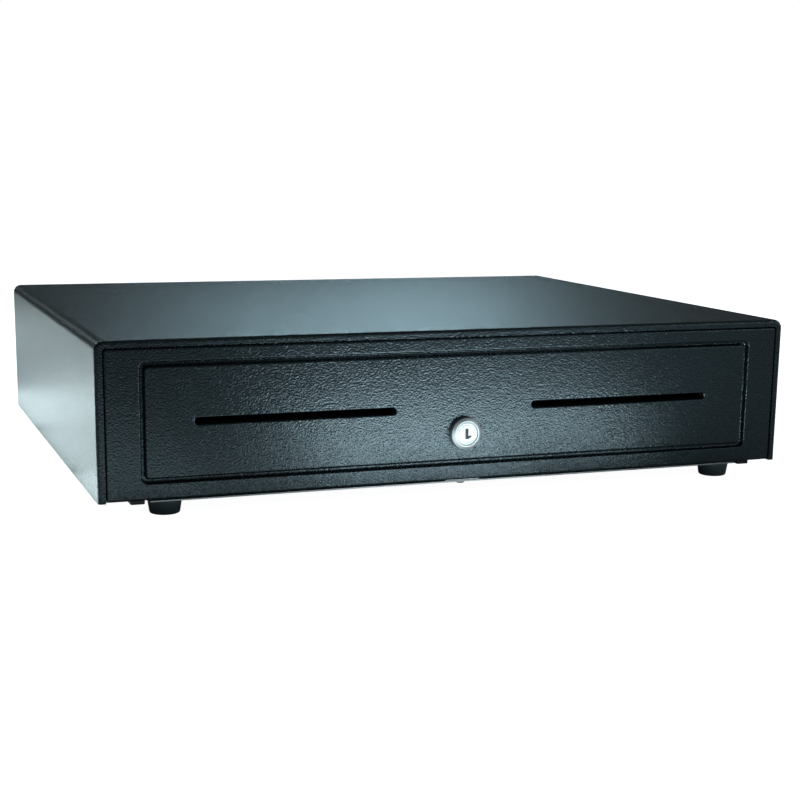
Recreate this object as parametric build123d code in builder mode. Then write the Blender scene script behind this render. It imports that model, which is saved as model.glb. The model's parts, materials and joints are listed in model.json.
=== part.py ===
from build123d import *
import math
import os

# Cash drawer: a folded steel cabinet that holds a sliding drawer with a moulded till.
# Millimetres. Origin at the bottom centre, on the surface that the feet stand on.
# +X is to the right of somebody facing the drawer, +Y to the rear, +Z up.

# ---- driving dimensions ----------------------------------------------------------------
WIDTH = 478.0
DEPTH = 386.0
CABINET_H = 99.4
FOOT_H = 9.0
SHEET = 1.2  # cover, rear panel and drawer front
PAN_T = 1.0
BOX_SHEET = 1.0
TRAVEL = 280.0  # how far the drawer opens
TINY = 0.01  # tolerance of the selectors

FRONT_Y = -DEPTH / 2
REAR_Y = DEPTH / 2
SIDE_X = WIDTH / 2
BOTTOM_Z = FOOT_H + PAN_T  # lower edge of the cover, upper face of the pan
TOP_Z = BOTTOM_Z + CABINET_H

# cover
COVER_R = 6.0
RIM_W = 4.8
RIM_R = 2.5
RIM_RETURN = 10.0
MIN_CORNER_R = 1.6
FLANGE_W = 14.0
FLANGE_FRONT_Y = -176.0
REAR_FLANGE_W = 13.0
REAR_FLANGE_Y = REAR_Y - 2 * SHEET
PANEL_GAP = 0.4

# drawer front
FRONT_GAP = 0.6
FRONT_X = SIDE_X - RIM_W - FRONT_GAP
FRONT_TOP = TOP_Z - RIM_W - FRONT_GAP
FRONT_BOTTOM = BOTTOM_Z + 0.7
FRONT_DEPTH = 12.0
FRONT_EDGE_R = 1.4
GROOVE_W = 3.2
GROOVE_DEPTH = 4.2
GROOVE_FLOOR_R = 1.4
GROOVE_X = 212.5
GROOVE_TOP = BOTTOM_Z + 85.8
GROOVE_BOTTOM = BOTTOM_Z + 10.8
GROOVE_R = 4.5
GROOVE_CORNER_SHARE = 0.6  # of the groove's width, taken off its inner corner radius
GROOVE_FRAME_LIP = 0.6
GROOVE_PANEL_LIP = 1.1
SLOT_L = 131.0
SLOT_H = 4.4
SLOT_X = 113.3
SLOT_Z = BOTTOM_Z + 48.3
SLOT_LIP = 0.9
COLLAR_T = 1.0
COLLAR_DEPTH = 3.8
CHUTE_L = 134.0
CHUTE_H = 7.2
CHUTE_WALL = 1.2
CHUTE_TAB = 73.0
CHUTE_TAB_L = 12.4
CHUTE_TAB_H = 12.0
CHUTE_TAB_T = 1.5
TAB_W = 30.0
TAB_R = 7.5
STRIKE_W = 24.0

# lock
LOCK_Z = BOTTOM_Z + 31.8
LOCK_PROUD = 4.5
BEZEL_R = 10.5
BEZEL_FACE_R = 8.3
BEZEL_BEVEL = 1.1
BARREL_R = 9.4
BARREL_BACK = FRONT_Y + 18.0
PLUG_R = 7.4
PLUG_INSET = 0.4
PLUG_CLEARANCE = 0.05
CAM_Y = -172.5
CAM_T = 2.0
CAM_REACH = 28.6
CAM_TAIL_R = 4.0
CAM_HUB_R = 8.0
CAM_W = 11.0
KEY_W = 2.0
KEY_H = 6.6
KEY_HOOK_L = 3.8
KEY_HOOK_W = 1.5
KEY_DEPTH = 12.0

# drawer box
BOX_X = 225.0
BOX_FRONT = FRONT_Y + FRONT_DEPTH
BOX_REAR = 150.0
BOX_BOTTOM = 16.0
BOX_TOP = 94.0

# till
TILL_X = 220.0
TILL_FRONT = -160.0
TILL_REAR = 145.0
TILL_BOTTOM = 37.0
TILL_TOP = 97.0
TILL_WALL = 2.0
BAYS = 5
CROSS_Y = -60.0  # front face of the wall between coins and notes
LEDGE_Y = 118.0
LEDGE_Z = 75.0
DIVIDER_TOP = 93.0
BAY_W = (2 * TILL_X - (BAYS + 1) * TILL_WALL) / BAYS
BAY_STEP = BAY_W + TILL_WALL
BAY_XS = [(number - (BAYS - 1) / 2) * BAY_STEP for number in range(BAYS)]

# note clips
ROD_Y = 131.0
ROD_Z = 88.0
ROD_R = 2.5
HUB_R = 5.0
HUB_L = 30.0
CLIP_REACH_Y = -68.0
CLIP_REACH_Z = -44.0
CLIP_FOOT_R = 4.0

# ball slides: sections measured inwards from the cover's inner face
WALL_X = SIDE_X - SHEET
RAIL_Z = 62.0
RAIL_T = 1.2
OUTER_RAIL_H = 35.0
OUTER_RAIL_W = 11.0
INNER_RAIL_H = 24.4
INNER_RAIL_W = 8.6
RAIL_LIP = 1.4
RAIL_FRONT = -178.0
OUTER_RAIL_REAR = 186.0
INNER_RAIL_REAR = 165.0
BALL_R = 2.0
BALL_X = 230.2
BALL_Z = OUTER_RAIL_H / 2 - RAIL_T - BALL_R - 0.05
CAGE_T = 0.8
CAGE_WEB_X = 235.3
CAGE_EDGE_X = 228.3
CAGE_L = 60.0
CAGE_Y = -6.5
BALLS = 6
BALL_STEP = 10.0
BALL_YS = [CAGE_Y + (number - (BALLS - 1) / 2) * BALL_STEP for number in range(BALLS)]

# release mechanism behind the drawer
TABLE_X0 = -90.0
TABLE_X1 = 100.0
TABLE_Y0 = 153.0
TABLE_Y1 = 189.0
TABLE_Z = 33.0
TABLE_T = 1.5
TABLE_TOP = TABLE_Z + TABLE_T
STRIKER_Y = 163.0
STRIKER_PIN_R = 2.5
LEVER_Z = 45.0
LEVER_T = 3.0
LEVER_MID_Z = LEVER_Z + LEVER_T / 2
LATCH_X = -14.0
LATCH_Y = 184.0
LATCH_PIN_R = 2.5
LATCH_ANGLE = 13.0  # turn from released, as drawn, to latched
LEVER_HALF_W = 5.0
NOSE_X = 2.0
NOSE_Y0 = 155.6
NOSE_Y1 = 159.9
PLUNGER_ARM = 16.0
PLUNGER_R = 4.0
PLUNGER_X = LATCH_X - PLUNGER_ARM * math.sin(math.radians(LATCH_ANGLE))
PLUNGER_Y = LATCH_Y - PLUNGER_ARM * math.cos(math.radians(LATCH_ANGLE))
PLUNGER_PIN_R = 1.5
PLUNGER_NECK = 9.5
COIL_X0 = -76.0
COIL_X1 = -40.0
COIL_R = 10.0
FRAME_T = 2.0
FRAME_HALF_W = 11.5
EJECT_X = 45.0
EJECT_Z = 46.5
EJECT_R = 7.0
EJECT_BORE = 5.1
EJECT_TIP_Y = 150.5
SWITCH_X = 80.0
SWITCH_FRONT = 161.0
SWITCH_L = 20.0
SWITCH_H = 12.0
SWITCH_PIN_R = 0.75

# where the fasteners go
FOOT_X = 196.0
FOOT_FRONT_Y = FRONT_Y + 12.0
FOOT_REAR_Y = REAR_Y - 22.0
FOOT_SPOTS = [(x, y) for x in (-FOOT_X, FOOT_X) for y in (FOOT_FRONT_Y, FOOT_REAR_Y)]
FOOT_TOP_R = 10.7
FOOT_BOTTOM_R = 9.4
FOOT_CHAMFER = 1.2
FOOT_RECESS = 4.0
FOOT_RECESS_R = 4.6
PAN_RIVET_SPOTS = [(x, y) for x in (-229.0, 229.0) for y in (-150.0, -50.0, 50.0, 150.0)]
PAN_X = 233.0
PAN_FRONT = FRONT_Y + 1.5
PAN_TONGUE_X = FOOT_X + FOOT_TOP_R + 0.3  # the pan's front edge is set back outside the feet
PAN_EAR_FRONT = FRONT_Y + 8.0
PAN_LIP_H = 16.0
GLIDE_X = 214.5
GLIDE_W = 9.0
GLIDE_FRONT = FRONT_Y + 1.8
GLIDE_REAR = FRONT_Y + 16.0
GLIDE_JAW = 1.0
GLIDE_CROWN = 0.35
GLIDE_SPOTS = [(-GLIDE_X, FRONT_Y + 12.0), (GLIDE_X, FRONT_Y + 12.0)]
STRIKE_SCREW = (0.0, FRONT_Y + 6.0)
COUNTER_HOLE_X = 150.0
COUNTER_HOLE_Y = 120.0
COUNTER_SPOTS = [(x, y) for x in (-COUNTER_HOLE_X, COUNTER_HOLE_X) for y in (-COUNTER_HOLE_Y, COUNTER_HOLE_Y)]
COUNTER_HOLE_R = 2.25
STOP_X = 160.0
STOP_Z = 24.0
STOP_FACE_Y = 158.5
STOP_RIVET_Y = 172.0
BUMPER_R = 7.0
BUMPER_STEM_R = 2.5
BRACKET_RIVET_SPOTS = [(x, y) for x in (-96.0, 106.0) for y in (160.0, 182.0)]
BRACKET_RIVET_SPOTS += [(-STOP_X, STOP_RIVET_Y), (STOP_X, STOP_RIVET_Y)]
REAR_SCREW_SPOTS = [(x, z) for x in (-232.0, 232.0) for z in (35.0, 85.0)]
REAR_SCREW_SPOTS += [(x, 102.0) for x in (-150.0, 0.0, 150.0)]
REAR_SCREW_SPOTS += [(x, 17.0) for x in (-150.0, 0.0, 150.0)]
FRONT_TAB_SPOTS = [(x, z) for x in (-190.0, -60.0, 60.0, 190.0) for z in (24.0, 88.0)]
CHUTE_SPOTS = [(x + dx, SLOT_Z) for x in (-SLOT_X, SLOT_X) for dx in (-CHUTE_TAB, CHUTE_TAB)]
SLIDE_RIVET_YS = (-150.0, 0.0, 130.0)
SHANK_R = 1.5
SHANK_HOLE_R = 1.6
STRIKER_SCREW_SPOTS = [(x, z) for x in (-12.0, 12.0) for z in (41.3, 51.7)]

# interface socket
SOCKET_X = -150.0
SOCKET_Z = 45.0
SOCKET_W = 14.0
SOCKET_H = 14.0
SOCKET_DEPTH = 16.0
JACK_W = 9.8
JACK_H = 6.8
JACK_TAB_W = 4.4
JACK_TAB_H = 3.0


def upright(y):
    """Plane across the object at depth y: local x to the right, local y up, normal to the front."""
    return Plane.XZ.offset(-y)


# ---- fasteners -------------------------------------------------------------------------
def pan_head(head_r, head_h, shank_r, shank_l):
    """Cross-recessed pan-head screw standing on its head's underside, axis +Z."""
    with BuildPart() as screw:
        with BuildSketch():
            Circle(head_r)
        extrude(amount=head_h)
        fillet(screw.edges().group_by(Axis.Z)[-1], head_h * 0.6)
        with BuildSketch(Plane.XY.offset(head_h)):
            Rectangle(head_r * 1.1, head_r * 0.25)
            Rectangle(head_r * 0.25, head_r * 1.1)
        extrude(amount=-head_h * 0.55, mode=Mode.SUBTRACT)
        with BuildSketch():
            Circle(shank_r)
        extrude(amount=-shank_l)
    return screw.part


def dome_rivet(head_r, head_h, shank_r, grip, tail_r, tail_h):
    """Rivet with a low domed head above z = 0 and its formed tail below the grip."""
    with BuildPart() as rivet:
        with BuildSketch():
            Circle(head_r)
        extrude(amount=head_h)
        fillet(rivet.edges().group_by(Axis.Z)[-1], head_h * 0.8)
        with BuildSketch():
            Circle(shank_r)
        extrude(amount=-grip)
        with BuildSketch(Plane.XY.offset(-grip)):
            Circle(tail_r)
        extrude(amount=-tail_h)
    return rivet.part


def group(piece, places):
    """The same piece repeated at each place, as separate solids of one part."""
    with BuildPart() as repeated:
        with Locations(*places):
            add(piece)
    return repeated.part


def facing_down(spots, z):
    """Places at height z whose axis points down."""
    return [Location((x, y, z), (180, 0, 0)) for x, y in spots]


def facing_rear(spots, y):
    """Places at depth y whose axis points to the rear."""
    return [Location((x, y, z), (-90, 0, 0)) for x, z in spots]


def coil_spring(radius, wire_r, length, turns):
    """Helical spring along +Z."""
    with BuildPart() as spring:
        with BuildLine() as path:
            Helix(pitch=length / turns, height=length, radius=radius)
        with BuildSketch(Plane(origin=path.line @ 0, z_dir=path.line % 0)):
            Circle(wire_r)
        sweep(is_frenet=True)
    return spring.part


# ---- cabinet ---------------------------------------------------------------------------
def arch_band(y, length, outer_inset, inner_inset):
    """Strip between two insets of the cover's outline, from depth y rearwards."""
    with BuildSketch(upright(y)) as band:
        for inset, mode in ((outer_inset, Mode.ADD), (inner_inset, Mode.SUBTRACT)):
            half = SIDE_X - inset
            top = TOP_Z - inset
            with BuildLine():
                FilletPolyline(
                    (-half, BOTTOM_Z), (-half, top), (half, top), (half, BOTTOM_Z),
                    radius=max(COVER_R - inset, MIN_CORNER_R),
                )
                Line((half, BOTTOM_Z), (-half, BOTTOM_Z))
            make_face(mode=mode)
    extrude(band.sketch, amount=-length)


def make_cover():
    """Top and sides folded from one sheet, with a rolled rim round the front."""
    flange_l = REAR_FLANGE_Y - FLANGE_FRONT_Y
    with BuildPart() as cover:
        arch_band(FRONT_Y, DEPTH, 0, SHEET)
        arch_band(FRONT_Y, SHEET, 0, RIM_W)
        arch_band(FRONT_Y, RIM_RETURN, RIM_W - SHEET, RIM_W)
        arch_band(REAR_FLANGE_Y, SHEET, SHEET / 2, REAR_FLANGE_W)
        with BuildSketch(Plane.XY.offset(BOTTOM_Z)):
            for side in (-1, 1):
                with Locations((side * (SIDE_X - FLANGE_W / 2), FLANGE_FRONT_Y + flange_l / 2)):
                    Rectangle(FLANGE_W, flange_l)
            with Locations(*PAN_RIVET_SPOTS):
                Circle(SHANK_HOLE_R, mode=Mode.SUBTRACT)
        extrude(amount=SHEET)
        rim = cover.edges().filter_by_position(Axis.Y, FRONT_Y - TINY, FRONT_Y + TINY)
        rim = rim.filter_by(lambda edge: edge.center().Z > BOTTOM_Z + TINY)
        outer = rim.filter_by(
            lambda edge: abs(edge.center().X) > SIDE_X - RIM_W / 2 or edge.center().Z > TOP_Z - RIM_W / 2
        )
        fillet(outer, RIM_R)
        with BuildSketch(upright(REAR_FLANGE_Y)):
            with Locations(*REAR_SCREW_SPOTS):
                Circle(SHANK_HOLE_R)
        extrude(amount=-SHEET, mode=Mode.SUBTRACT)
    return cover.part


def make_base_pan():
    """Flat galvanised bottom with a turned-up rear edge."""
    rear = REAR_FLANGE_Y + SHEET
    with BuildPart() as pan:
        with BuildSketch(Plane.XY.offset(FOOT_H)):
            with Locations((0, (PAN_EAR_FRONT + rear) / 2)):
                Rectangle(2 * PAN_X, rear - PAN_EAR_FRONT)
            with Locations((0, PAN_FRONT)):
                Rectangle(2 * PAN_TONGUE_X, PAN_EAR_FRONT - PAN_FRONT, align=(Align.CENTER, Align.MIN))
            with Locations(*PAN_RIVET_SPOTS, *BRACKET_RIVET_SPOTS, *FOOT_SPOTS, STRIKE_SCREW):
                Circle(SHANK_HOLE_R, mode=Mode.SUBTRACT)
            with Locations(*GLIDE_SPOTS):
                Circle(SHANK_HOLE_R, mode=Mode.SUBTRACT)
            with Locations(*COUNTER_SPOTS):
                Circle(COUNTER_HOLE_R, mode=Mode.SUBTRACT)
        extrude(amount=PAN_T)
        with BuildSketch(upright(REAR_FLANGE_Y)):
            with Locations((0, FOOT_H)):
                Rectangle(2 * (SIDE_X - REAR_FLANGE_W - 2), PAN_LIP_H, align=(Align.CENTER, Align.MIN))
            with Locations(*[(x, z) for x, z in REAR_SCREW_SPOTS if z < FOOT_H + PAN_LIP_H]):
                Circle(SHANK_HOLE_R, mode=Mode.SUBTRACT)
        extrude(amount=-SHEET)
    return pan.part


def make_rear_panel():
    """Flat plate inside the cover's rear edge, with the socket's cut-out."""
    half = SIDE_X - SHEET - PANEL_GAP
    top = TOP_Z - SHEET - PANEL_GAP
    with BuildPart() as panel:
        with BuildSketch(upright(REAR_Y - SHEET)):
            with BuildLine():
                FilletPolyline(
                    (-half, BOTTOM_Z), (-half, top), (half, top), (half, BOTTOM_Z), radius=COVER_R - SHEET
                )
                Line((half, BOTTOM_Z), (-half, BOTTOM_Z))
            make_face()
            with Locations(*REAR_SCREW_SPOTS):
                Circle(SHANK_HOLE_R, mode=Mode.SUBTRACT)
            with Locations((SOCKET_X, SOCKET_Z)):
                Rectangle(SOCKET_W + 0.2, SOCKET_H + 0.2, mode=Mode.SUBTRACT)
        extrude(amount=-SHEET)
    return panel.part


def make_interface_socket():
    """Six-way modular jack that the release signal comes in by."""
    face_y = REAR_Y + 0.6
    with BuildPart() as socket:
        with BuildSketch(upright(face_y)):
            with Locations((SOCKET_X, SOCKET_Z)):
                Rectangle(SOCKET_W, SOCKET_H)
        extrude(amount=SOCKET_DEPTH)
        with BuildSketch(upright(REAR_Y - SHEET)):
            with Locations((SOCKET_X, SOCKET_Z)):
                Rectangle(SOCKET_W + 4, SOCKET_H + 4)
        extrude(amount=2.0)
        with BuildSketch(upright(face_y)):
            with Locations((SOCKET_X, SOCKET_Z - 1)):
                Rectangle(JACK_W, JACK_H)
            with Locations((SOCKET_X, SOCKET_Z - 1 + (JACK_H + JACK_TAB_H) / 2)):
                Rectangle(JACK_TAB_W, JACK_TAB_H)
        extrude(amount=SOCKET_DEPTH - 2.5, mode=Mode.SUBTRACT)
        fillet(socket.edges().filter_by(Axis.Y).group_by(SortBy.LENGTH)[-1], 0.5)
    return socket.part


def make_foot():
    """Tapered rubber foot with a recess for its screw, top face at z = FOOT_H."""
    with BuildPart() as foot:
        with BuildSketch(Plane.XZ):
            with BuildLine():
                Polyline(
                    (0, 0), (FOOT_BOTTOM_R - FOOT_CHAMFER, 0), (FOOT_BOTTOM_R, FOOT_CHAMFER),
                    (FOOT_TOP_R, FOOT_H), (0, FOOT_H), (0, 0),
                )
            make_face()
        revolve(axis=Axis.Z)
        with BuildSketch():
            Circle(FOOT_RECESS_R)
        extrude(amount=FOOT_RECESS, mode=Mode.SUBTRACT)
        with BuildSketch():
            Circle(SHANK_HOLE_R)
        extrude(amount=FOOT_H, mode=Mode.SUBTRACT)
    return foot.part


def make_front_glide():
    """Nylon glide clipped round the pan's front edge, for the drawer front to run over."""
    length = GLIDE_REAR - GLIDE_FRONT
    with BuildPart() as glide:
        with BuildSketch(Plane.XY.offset(FOOT_H - GLIDE_JAW)):
            with Locations((0, GLIDE_FRONT)):
                Rectangle(GLIDE_W, length, align=(Align.CENTER, Align.MIN))
        extrude(amount=GLIDE_JAW + PAN_T + GLIDE_CROWN)
        fillet(glide.edges().filter_by(Axis.Z), 1.5)
        fillet(glide.edges().group_by(Axis.Z)[0], GLIDE_JAW / 2)
        with BuildSketch(Plane.XY.offset(FOOT_H)):
            with Locations((0, PAN_EAR_FRONT)):
                Rectangle(GLIDE_W, length, align=(Align.CENTER, Align.MIN))
            with Locations((0, GLIDE_SPOTS[0][1])):
                Circle(SHANK_R, mode=Mode.SUBTRACT)
        extrude(amount=PAN_T, mode=Mode.SUBTRACT)
    return glide.part


def make_lock_strike():
    """Angle behind the drawer front that the lock's cam hooks behind."""
    wall_y = CAM_Y - CAM_T / 2 - 0.5 - SHEET
    base_front = STRIKE_SCREW[1] - 4.0
    with BuildPart() as strike:
        with BuildSketch(Plane.XY.offset(BOTTOM_Z)):
            with Locations((0, (base_front + wall_y + SHEET) / 2)):
                Rectangle(STRIKE_W, wall_y + SHEET - base_front)
            with Locations(STRIKE_SCREW):
                Circle(SHANK_HOLE_R, mode=Mode.SUBTRACT)
        extrude(amount=SHEET)
        with BuildSketch(upright(wall_y)):
            with Locations((0, BOTTOM_Z)):
                Rectangle(STRIKE_W, BOX_BOTTOM - BOTTOM_Z - 0.8, align=(Align.CENTER, Align.MIN))
        extrude(amount=-SHEET)
    return strike.part


def make_stop_bracket():
    """Angle on the pan that carries a rear bumper, drawn at x = 0."""
    width = 24.0
    foot_l = 22.0
    wall_h = 24.0
    with BuildPart() as bracket:
        with BuildSketch(Plane.XY.offset(BOTTOM_Z)):
            with Locations((0, STOP_FACE_Y)):
                Rectangle(width, foot_l, align=(Align.CENTER, Align.MIN))
            with Locations((0, STOP_RIVET_Y)):
                Circle(SHANK_HOLE_R, mode=Mode.SUBTRACT)
        extrude(amount=TABLE_T)
        with BuildSketch(upright(STOP_FACE_Y)):
            with Locations((0, BOTTOM_Z)):
                Rectangle(width, wall_h, align=(Align.CENTER, Align.MIN))
            with Locations((0, STOP_Z)):
                Circle(BUMPER_STEM_R + 0.1, mode=Mode.SUBTRACT)
        extrude(amount=-TABLE_T)
        fillet(bracket.edges().filter_by(Axis.Y).group_by(Axis.Z)[-1], 4.0)
    return bracket.part


def make_bumper():
    """Rubber button with a barbed stem, drawn at x = 0."""
    with BuildPart() as bumper:
        with BuildSketch(upright(STOP_FACE_Y)):
            with Locations((0, STOP_Z)):
                Circle(BUMPER_R)
        extrude(amount=STOP_FACE_Y - BOX_REAR - 0.5)
        fillet(bumper.edges().group_by(Axis.Y)[0], 2.0)
        with BuildSketch(upright(STOP_FACE_Y)):
            with Locations((0, STOP_Z)):
                Circle(BUMPER_STEM_R)
        extrude(amount=-TABLE_T)
        with BuildSketch(upright(STOP_FACE_Y + TABLE_T)):
            with Locations((0, STOP_Z)):
                Circle(BUMPER_STEM_R + 1.5)
        extrude(amount=-BUMPER_STEM_R)
    return bumper.part


# ---- ball slides -----------------------------------------------------------------------
def rail_section(side, web_x, free_x, height, lip_turn):
    """Channel with its web at web_x, open towards free_x, whose flange edges turn by lip_turn."""
    inner_web = web_x + math.copysign(RAIL_T, free_x - web_x)
    inner_free = free_x - math.copysign(RAIL_T, free_x - web_x)
    for half in (-1, 1):
        outer_z = RAIL_Z + half * height / 2
        inner_z = outer_z - half * RAIL_T
        lip_z = inner_z - half * RAIL_LIP if lip_turn < 0 else outer_z + half * RAIL_LIP
        near_z = inner_z if lip_turn < 0 else outer_z
        with Locations((side * (web_x + free_x) / 2, (outer_z + inner_z) / 2)):
            Rectangle(abs(free_x - web_x), RAIL_T)
        with Locations((side * (free_x + inner_free) / 2, (near_z + lip_z) / 2)):
            Rectangle(RAIL_T, abs(near_z - lip_z))
    with Locations((side * (web_x + inner_web) / 2, RAIL_Z)):
        Rectangle(RAIL_T, height)


def make_outer_rail(side):
    """Slide member welded to the cover's side; its flange edges turn inwards."""
    with BuildPart() as rail:
        with BuildSketch(upright(RAIL_FRONT)):
            rail_section(side, WALL_X, WALL_X - OUTER_RAIL_W, OUTER_RAIL_H, -1)
        extrude(amount=-(OUTER_RAIL_REAR - RAIL_FRONT))
    return rail.part


def make_inner_rail(side):
    """Slide member riveted to the drawer's side; its flange edges turn outwards."""
    with BuildPart() as rail:
        with BuildSketch(upright(RAIL_FRONT)):
            rail_section(side, BOX_X, BOX_X + INNER_RAIL_W, INNER_RAIL_H, 1)
        extrude(amount=-(INNER_RAIL_REAR - RAIL_FRONT))
        with BuildSketch(Plane.YZ.offset(side * BOX_X)):
            with Locations(*[(y, RAIL_Z) for y in SLIDE_RIVET_YS]):
                Circle(SHANK_HOLE_R)
        extrude(amount=side * RAIL_T, mode=Mode.SUBTRACT)
    return rail.part


def make_ball_cage(side):
    """Channel that keeps two rows of balls apart; it travels at half the drawer's speed."""
    with BuildPart() as cage:
        with BuildSketch(upright(CAGE_Y - CAGE_L / 2)):
            with Locations((side * CAGE_WEB_X, RAIL_Z)):
                Rectangle(CAGE_T, 2 * BALL_Z + CAGE_T)
            arm = CAGE_WEB_X - CAGE_EDGE_X
            with Locations(*[(side * (CAGE_EDGE_X + arm / 2), RAIL_Z + half * BALL_Z) for half in (-1, 1)]):
                Rectangle(arm, CAGE_T)
        extrude(amount=-CAGE_L)
        with BuildSketch(Plane.XY.offset(RAIL_Z - BALL_Z - CAGE_T)):
            with Locations(*[(side * BALL_X, y) for y in BALL_YS]):
                Circle(BALL_R + 0.05)
        extrude(amount=2 * (BALL_Z + CAGE_T), mode=Mode.SUBTRACT)
    return cage.part


def make_balls(side):
    """Two rows of steel balls."""
    with BuildPart() as balls:
        with Locations(*[(side * BALL_X, y, RAIL_Z + half * BALL_Z) for y in BALL_YS for half in (-1, 1)]):
            Sphere(BALL_R)
    return balls.part


# ---- release mechanism -----------------------------------------------------------------
def make_latch_bracket():
    """Galvanised table on the pan that carries the latch, solenoid, ejector and switch."""
    leg_h = TABLE_Z - BOTTOM_Z
    mid_y = (TABLE_Y0 + TABLE_Y1) / 2
    depth = TABLE_Y1 - TABLE_Y0
    with BuildPart() as table:
        with BuildSketch(upright(TABLE_Y0)):
            with Locations(((TABLE_X0 + TABLE_X1) / 2, TABLE_Z + TABLE_T / 2)):
                Rectangle(TABLE_X1 - TABLE_X0, TABLE_T)
            for side, x in ((-1, TABLE_X0), (1, TABLE_X1)):
                with Locations((x - side * TABLE_T / 2, BOTTOM_Z + leg_h / 2)):
                    Rectangle(TABLE_T, leg_h)
                with Locations((x + side * 6.0, BOTTOM_Z + TABLE_T / 2)):
                    Rectangle(12.0, TABLE_T)
        extrude(amount=-depth)
        with BuildSketch(Plane.XY.offset(BOTTOM_Z)):
            with Locations(*BRACKET_RIVET_SPOTS):
                Circle(SHANK_HOLE_R)
        extrude(amount=TABLE_T, mode=Mode.SUBTRACT)
        with BuildSketch(Plane.XY.offset(TABLE_Z)):
            with Locations((LATCH_X, LATCH_Y)):
                Circle(LATCH_PIN_R)
            with Locations((22.0, mid_y)):
                SlotOverall(16.0, 6.0, rotation=90)
        extrude(amount=TABLE_T, mode=Mode.SUBTRACT)
    return table.part


def make_latch_pin():
    """Shouldered pivot pin of the latch lever, with a retaining head."""
    with BuildPart() as pin:
        with BuildSketch(Plane.XY.offset(TABLE_Z - 1.5)):
            with Locations((LATCH_X, LATCH_Y)):
                Circle(LATCH_PIN_R + 1)
        extrude(amount=1.5)
        with BuildSketch(Plane.XY.offset(TABLE_Z)):
            with Locations((LATCH_X, LATCH_Y)):
                Circle(LATCH_PIN_R)
        extrude(amount=LEVER_Z + LEVER_T + 2.0 - TABLE_Z)
        with BuildSketch(Plane.XY.offset(TABLE_TOP)):
            with Locations((LATCH_X, LATCH_Y)):
                Circle(LATCH_PIN_R + 2)
        extrude(amount=LEVER_Z - 0.3 - TABLE_TOP)
        with BuildSketch(Plane.XY.offset(LEVER_Z + LEVER_T + 0.3)):
            with Locations((LATCH_X, LATCH_Y)):
                Circle(LATCH_PIN_R + 2)
        extrude(amount=1.2)
    return pin.part


def make_latch_lever():
    """Hook that holds the striker pin; drawn released, turned back from its latched place."""
    released = Location((LATCH_X, LATCH_Y, LEVER_Z), (0, 0, -LATCH_ANGLE))
    nose_x = NOSE_X - LATCH_X
    nose_y0 = NOSE_Y0 - LATCH_Y
    nose_y1 = NOSE_Y1 - LATCH_Y
    with BuildPart() as lever:
        with BuildSketch(Plane(released)):
            with BuildLine():
                Polyline(
                    (-LEVER_HALF_W, 0), (-LEVER_HALF_W, nose_y0), (nose_x - 3.0, nose_y0),
                    (nose_x, nose_y0 + 2.0), (nose_x, nose_y1), (LEVER_HALF_W, nose_y1),
                    (LEVER_HALF_W, 0), (-LEVER_HALF_W, 0),
                )
            make_face()
            Circle(LEVER_HALF_W + 2.0)
            Circle(LATCH_PIN_R + PLUG_CLEARANCE, mode=Mode.SUBTRACT)
            with Locations((0, -PLUNGER_ARM)):
                SlotOverall(2 * PLUNGER_PIN_R + 2.4, 2 * PLUNGER_PIN_R + 0.4, rotation=90, mode=Mode.SUBTRACT)
        extrude(amount=LEVER_T)
    return lever.part


def across(x):
    """Plane square to the solenoid's axis at x: local x to the rear, local y up."""
    return Plane(origin=(x, PLUNGER_Y, LEVER_MID_Z), x_dir=(0, 1, 0), z_dir=(1, 0, 0))


def make_solenoid_frame():
    """Bent steel yoke round the coil, standing on the table."""
    height = LEVER_MID_Z - TABLE_TOP + COIL_R + 1.0
    low = TABLE_TOP - LEVER_MID_Z
    with BuildPart() as frame:
        for x in (COIL_X0 - FRAME_T, COIL_X1):
            with BuildSketch(across(x)):
                with Locations((0, low)):
                    Rectangle(2 * FRAME_HALF_W, height, align=(Align.CENTER, Align.MIN))
                Circle(PLUNGER_R + 0.3, mode=Mode.SUBTRACT)
            extrude(amount=FRAME_T)
        with BuildSketch(Plane.XY.offset(TABLE_TOP)):
            with Locations(((COIL_X0 + COIL_X1) / 2, PLUNGER_Y)):
                Rectangle(COIL_X1 - COIL_X0 + 2 * FRAME_T, 2 * FRAME_HALF_W)
        extrude(amount=1.5)
    return frame.part


def make_solenoid_coil():
    """Bobbin with its winding."""
    cheek = 1.2
    winding_l = COIL_X1 - COIL_X0 - 2 * cheek
    with BuildPart() as coil:
        for start, length, radius in (
            (0, cheek, COIL_R),
            (cheek, winding_l, COIL_R - 1.0),
            (cheek + winding_l, cheek, COIL_R),
        ):
            with BuildSketch(across(COIL_X0 + start)):
                Circle(radius)
                Circle(PLUNGER_R + 0.1, mode=Mode.SUBTRACT)
            extrude(amount=length)
    return coil.part


def make_solenoid_plunger():
    """Plunger with a forked end and cross pin that draws the lever back."""
    fork_l = 12.0
    shoulder_x = PLUNGER_X - PLUNGER_NECK
    with BuildPart() as plunger:
        with BuildSketch(across(COIL_X0 + 8.0)):
            Circle(PLUNGER_R)
        extrude(amount=shoulder_x - COIL_X0 - 8.0)
        with BuildSketch(across(shoulder_x - 1.5)):
            Circle(PLUNGER_R + 2.0)
        extrude(amount=1.5)
        with BuildSketch(across(shoulder_x)):
            Rectangle(2 * PLUNGER_R, 2 * PLUNGER_R + 1)
        extrude(amount=fork_l + 1)
        with BuildSketch(across(shoulder_x + 2.0)):
            Rectangle(4 * PLUNGER_R, LEVER_T + 0.8)
        extrude(amount=fork_l, mode=Mode.SUBTRACT)
        with BuildSketch(Plane.XY.offset(LEVER_MID_Z - PLUNGER_R - 1.5)):
            with Locations((PLUNGER_X, PLUNGER_Y)):
                Circle(PLUNGER_PIN_R)
        extrude(amount=2 * PLUNGER_R + 3)
    return plunger.part


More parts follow.
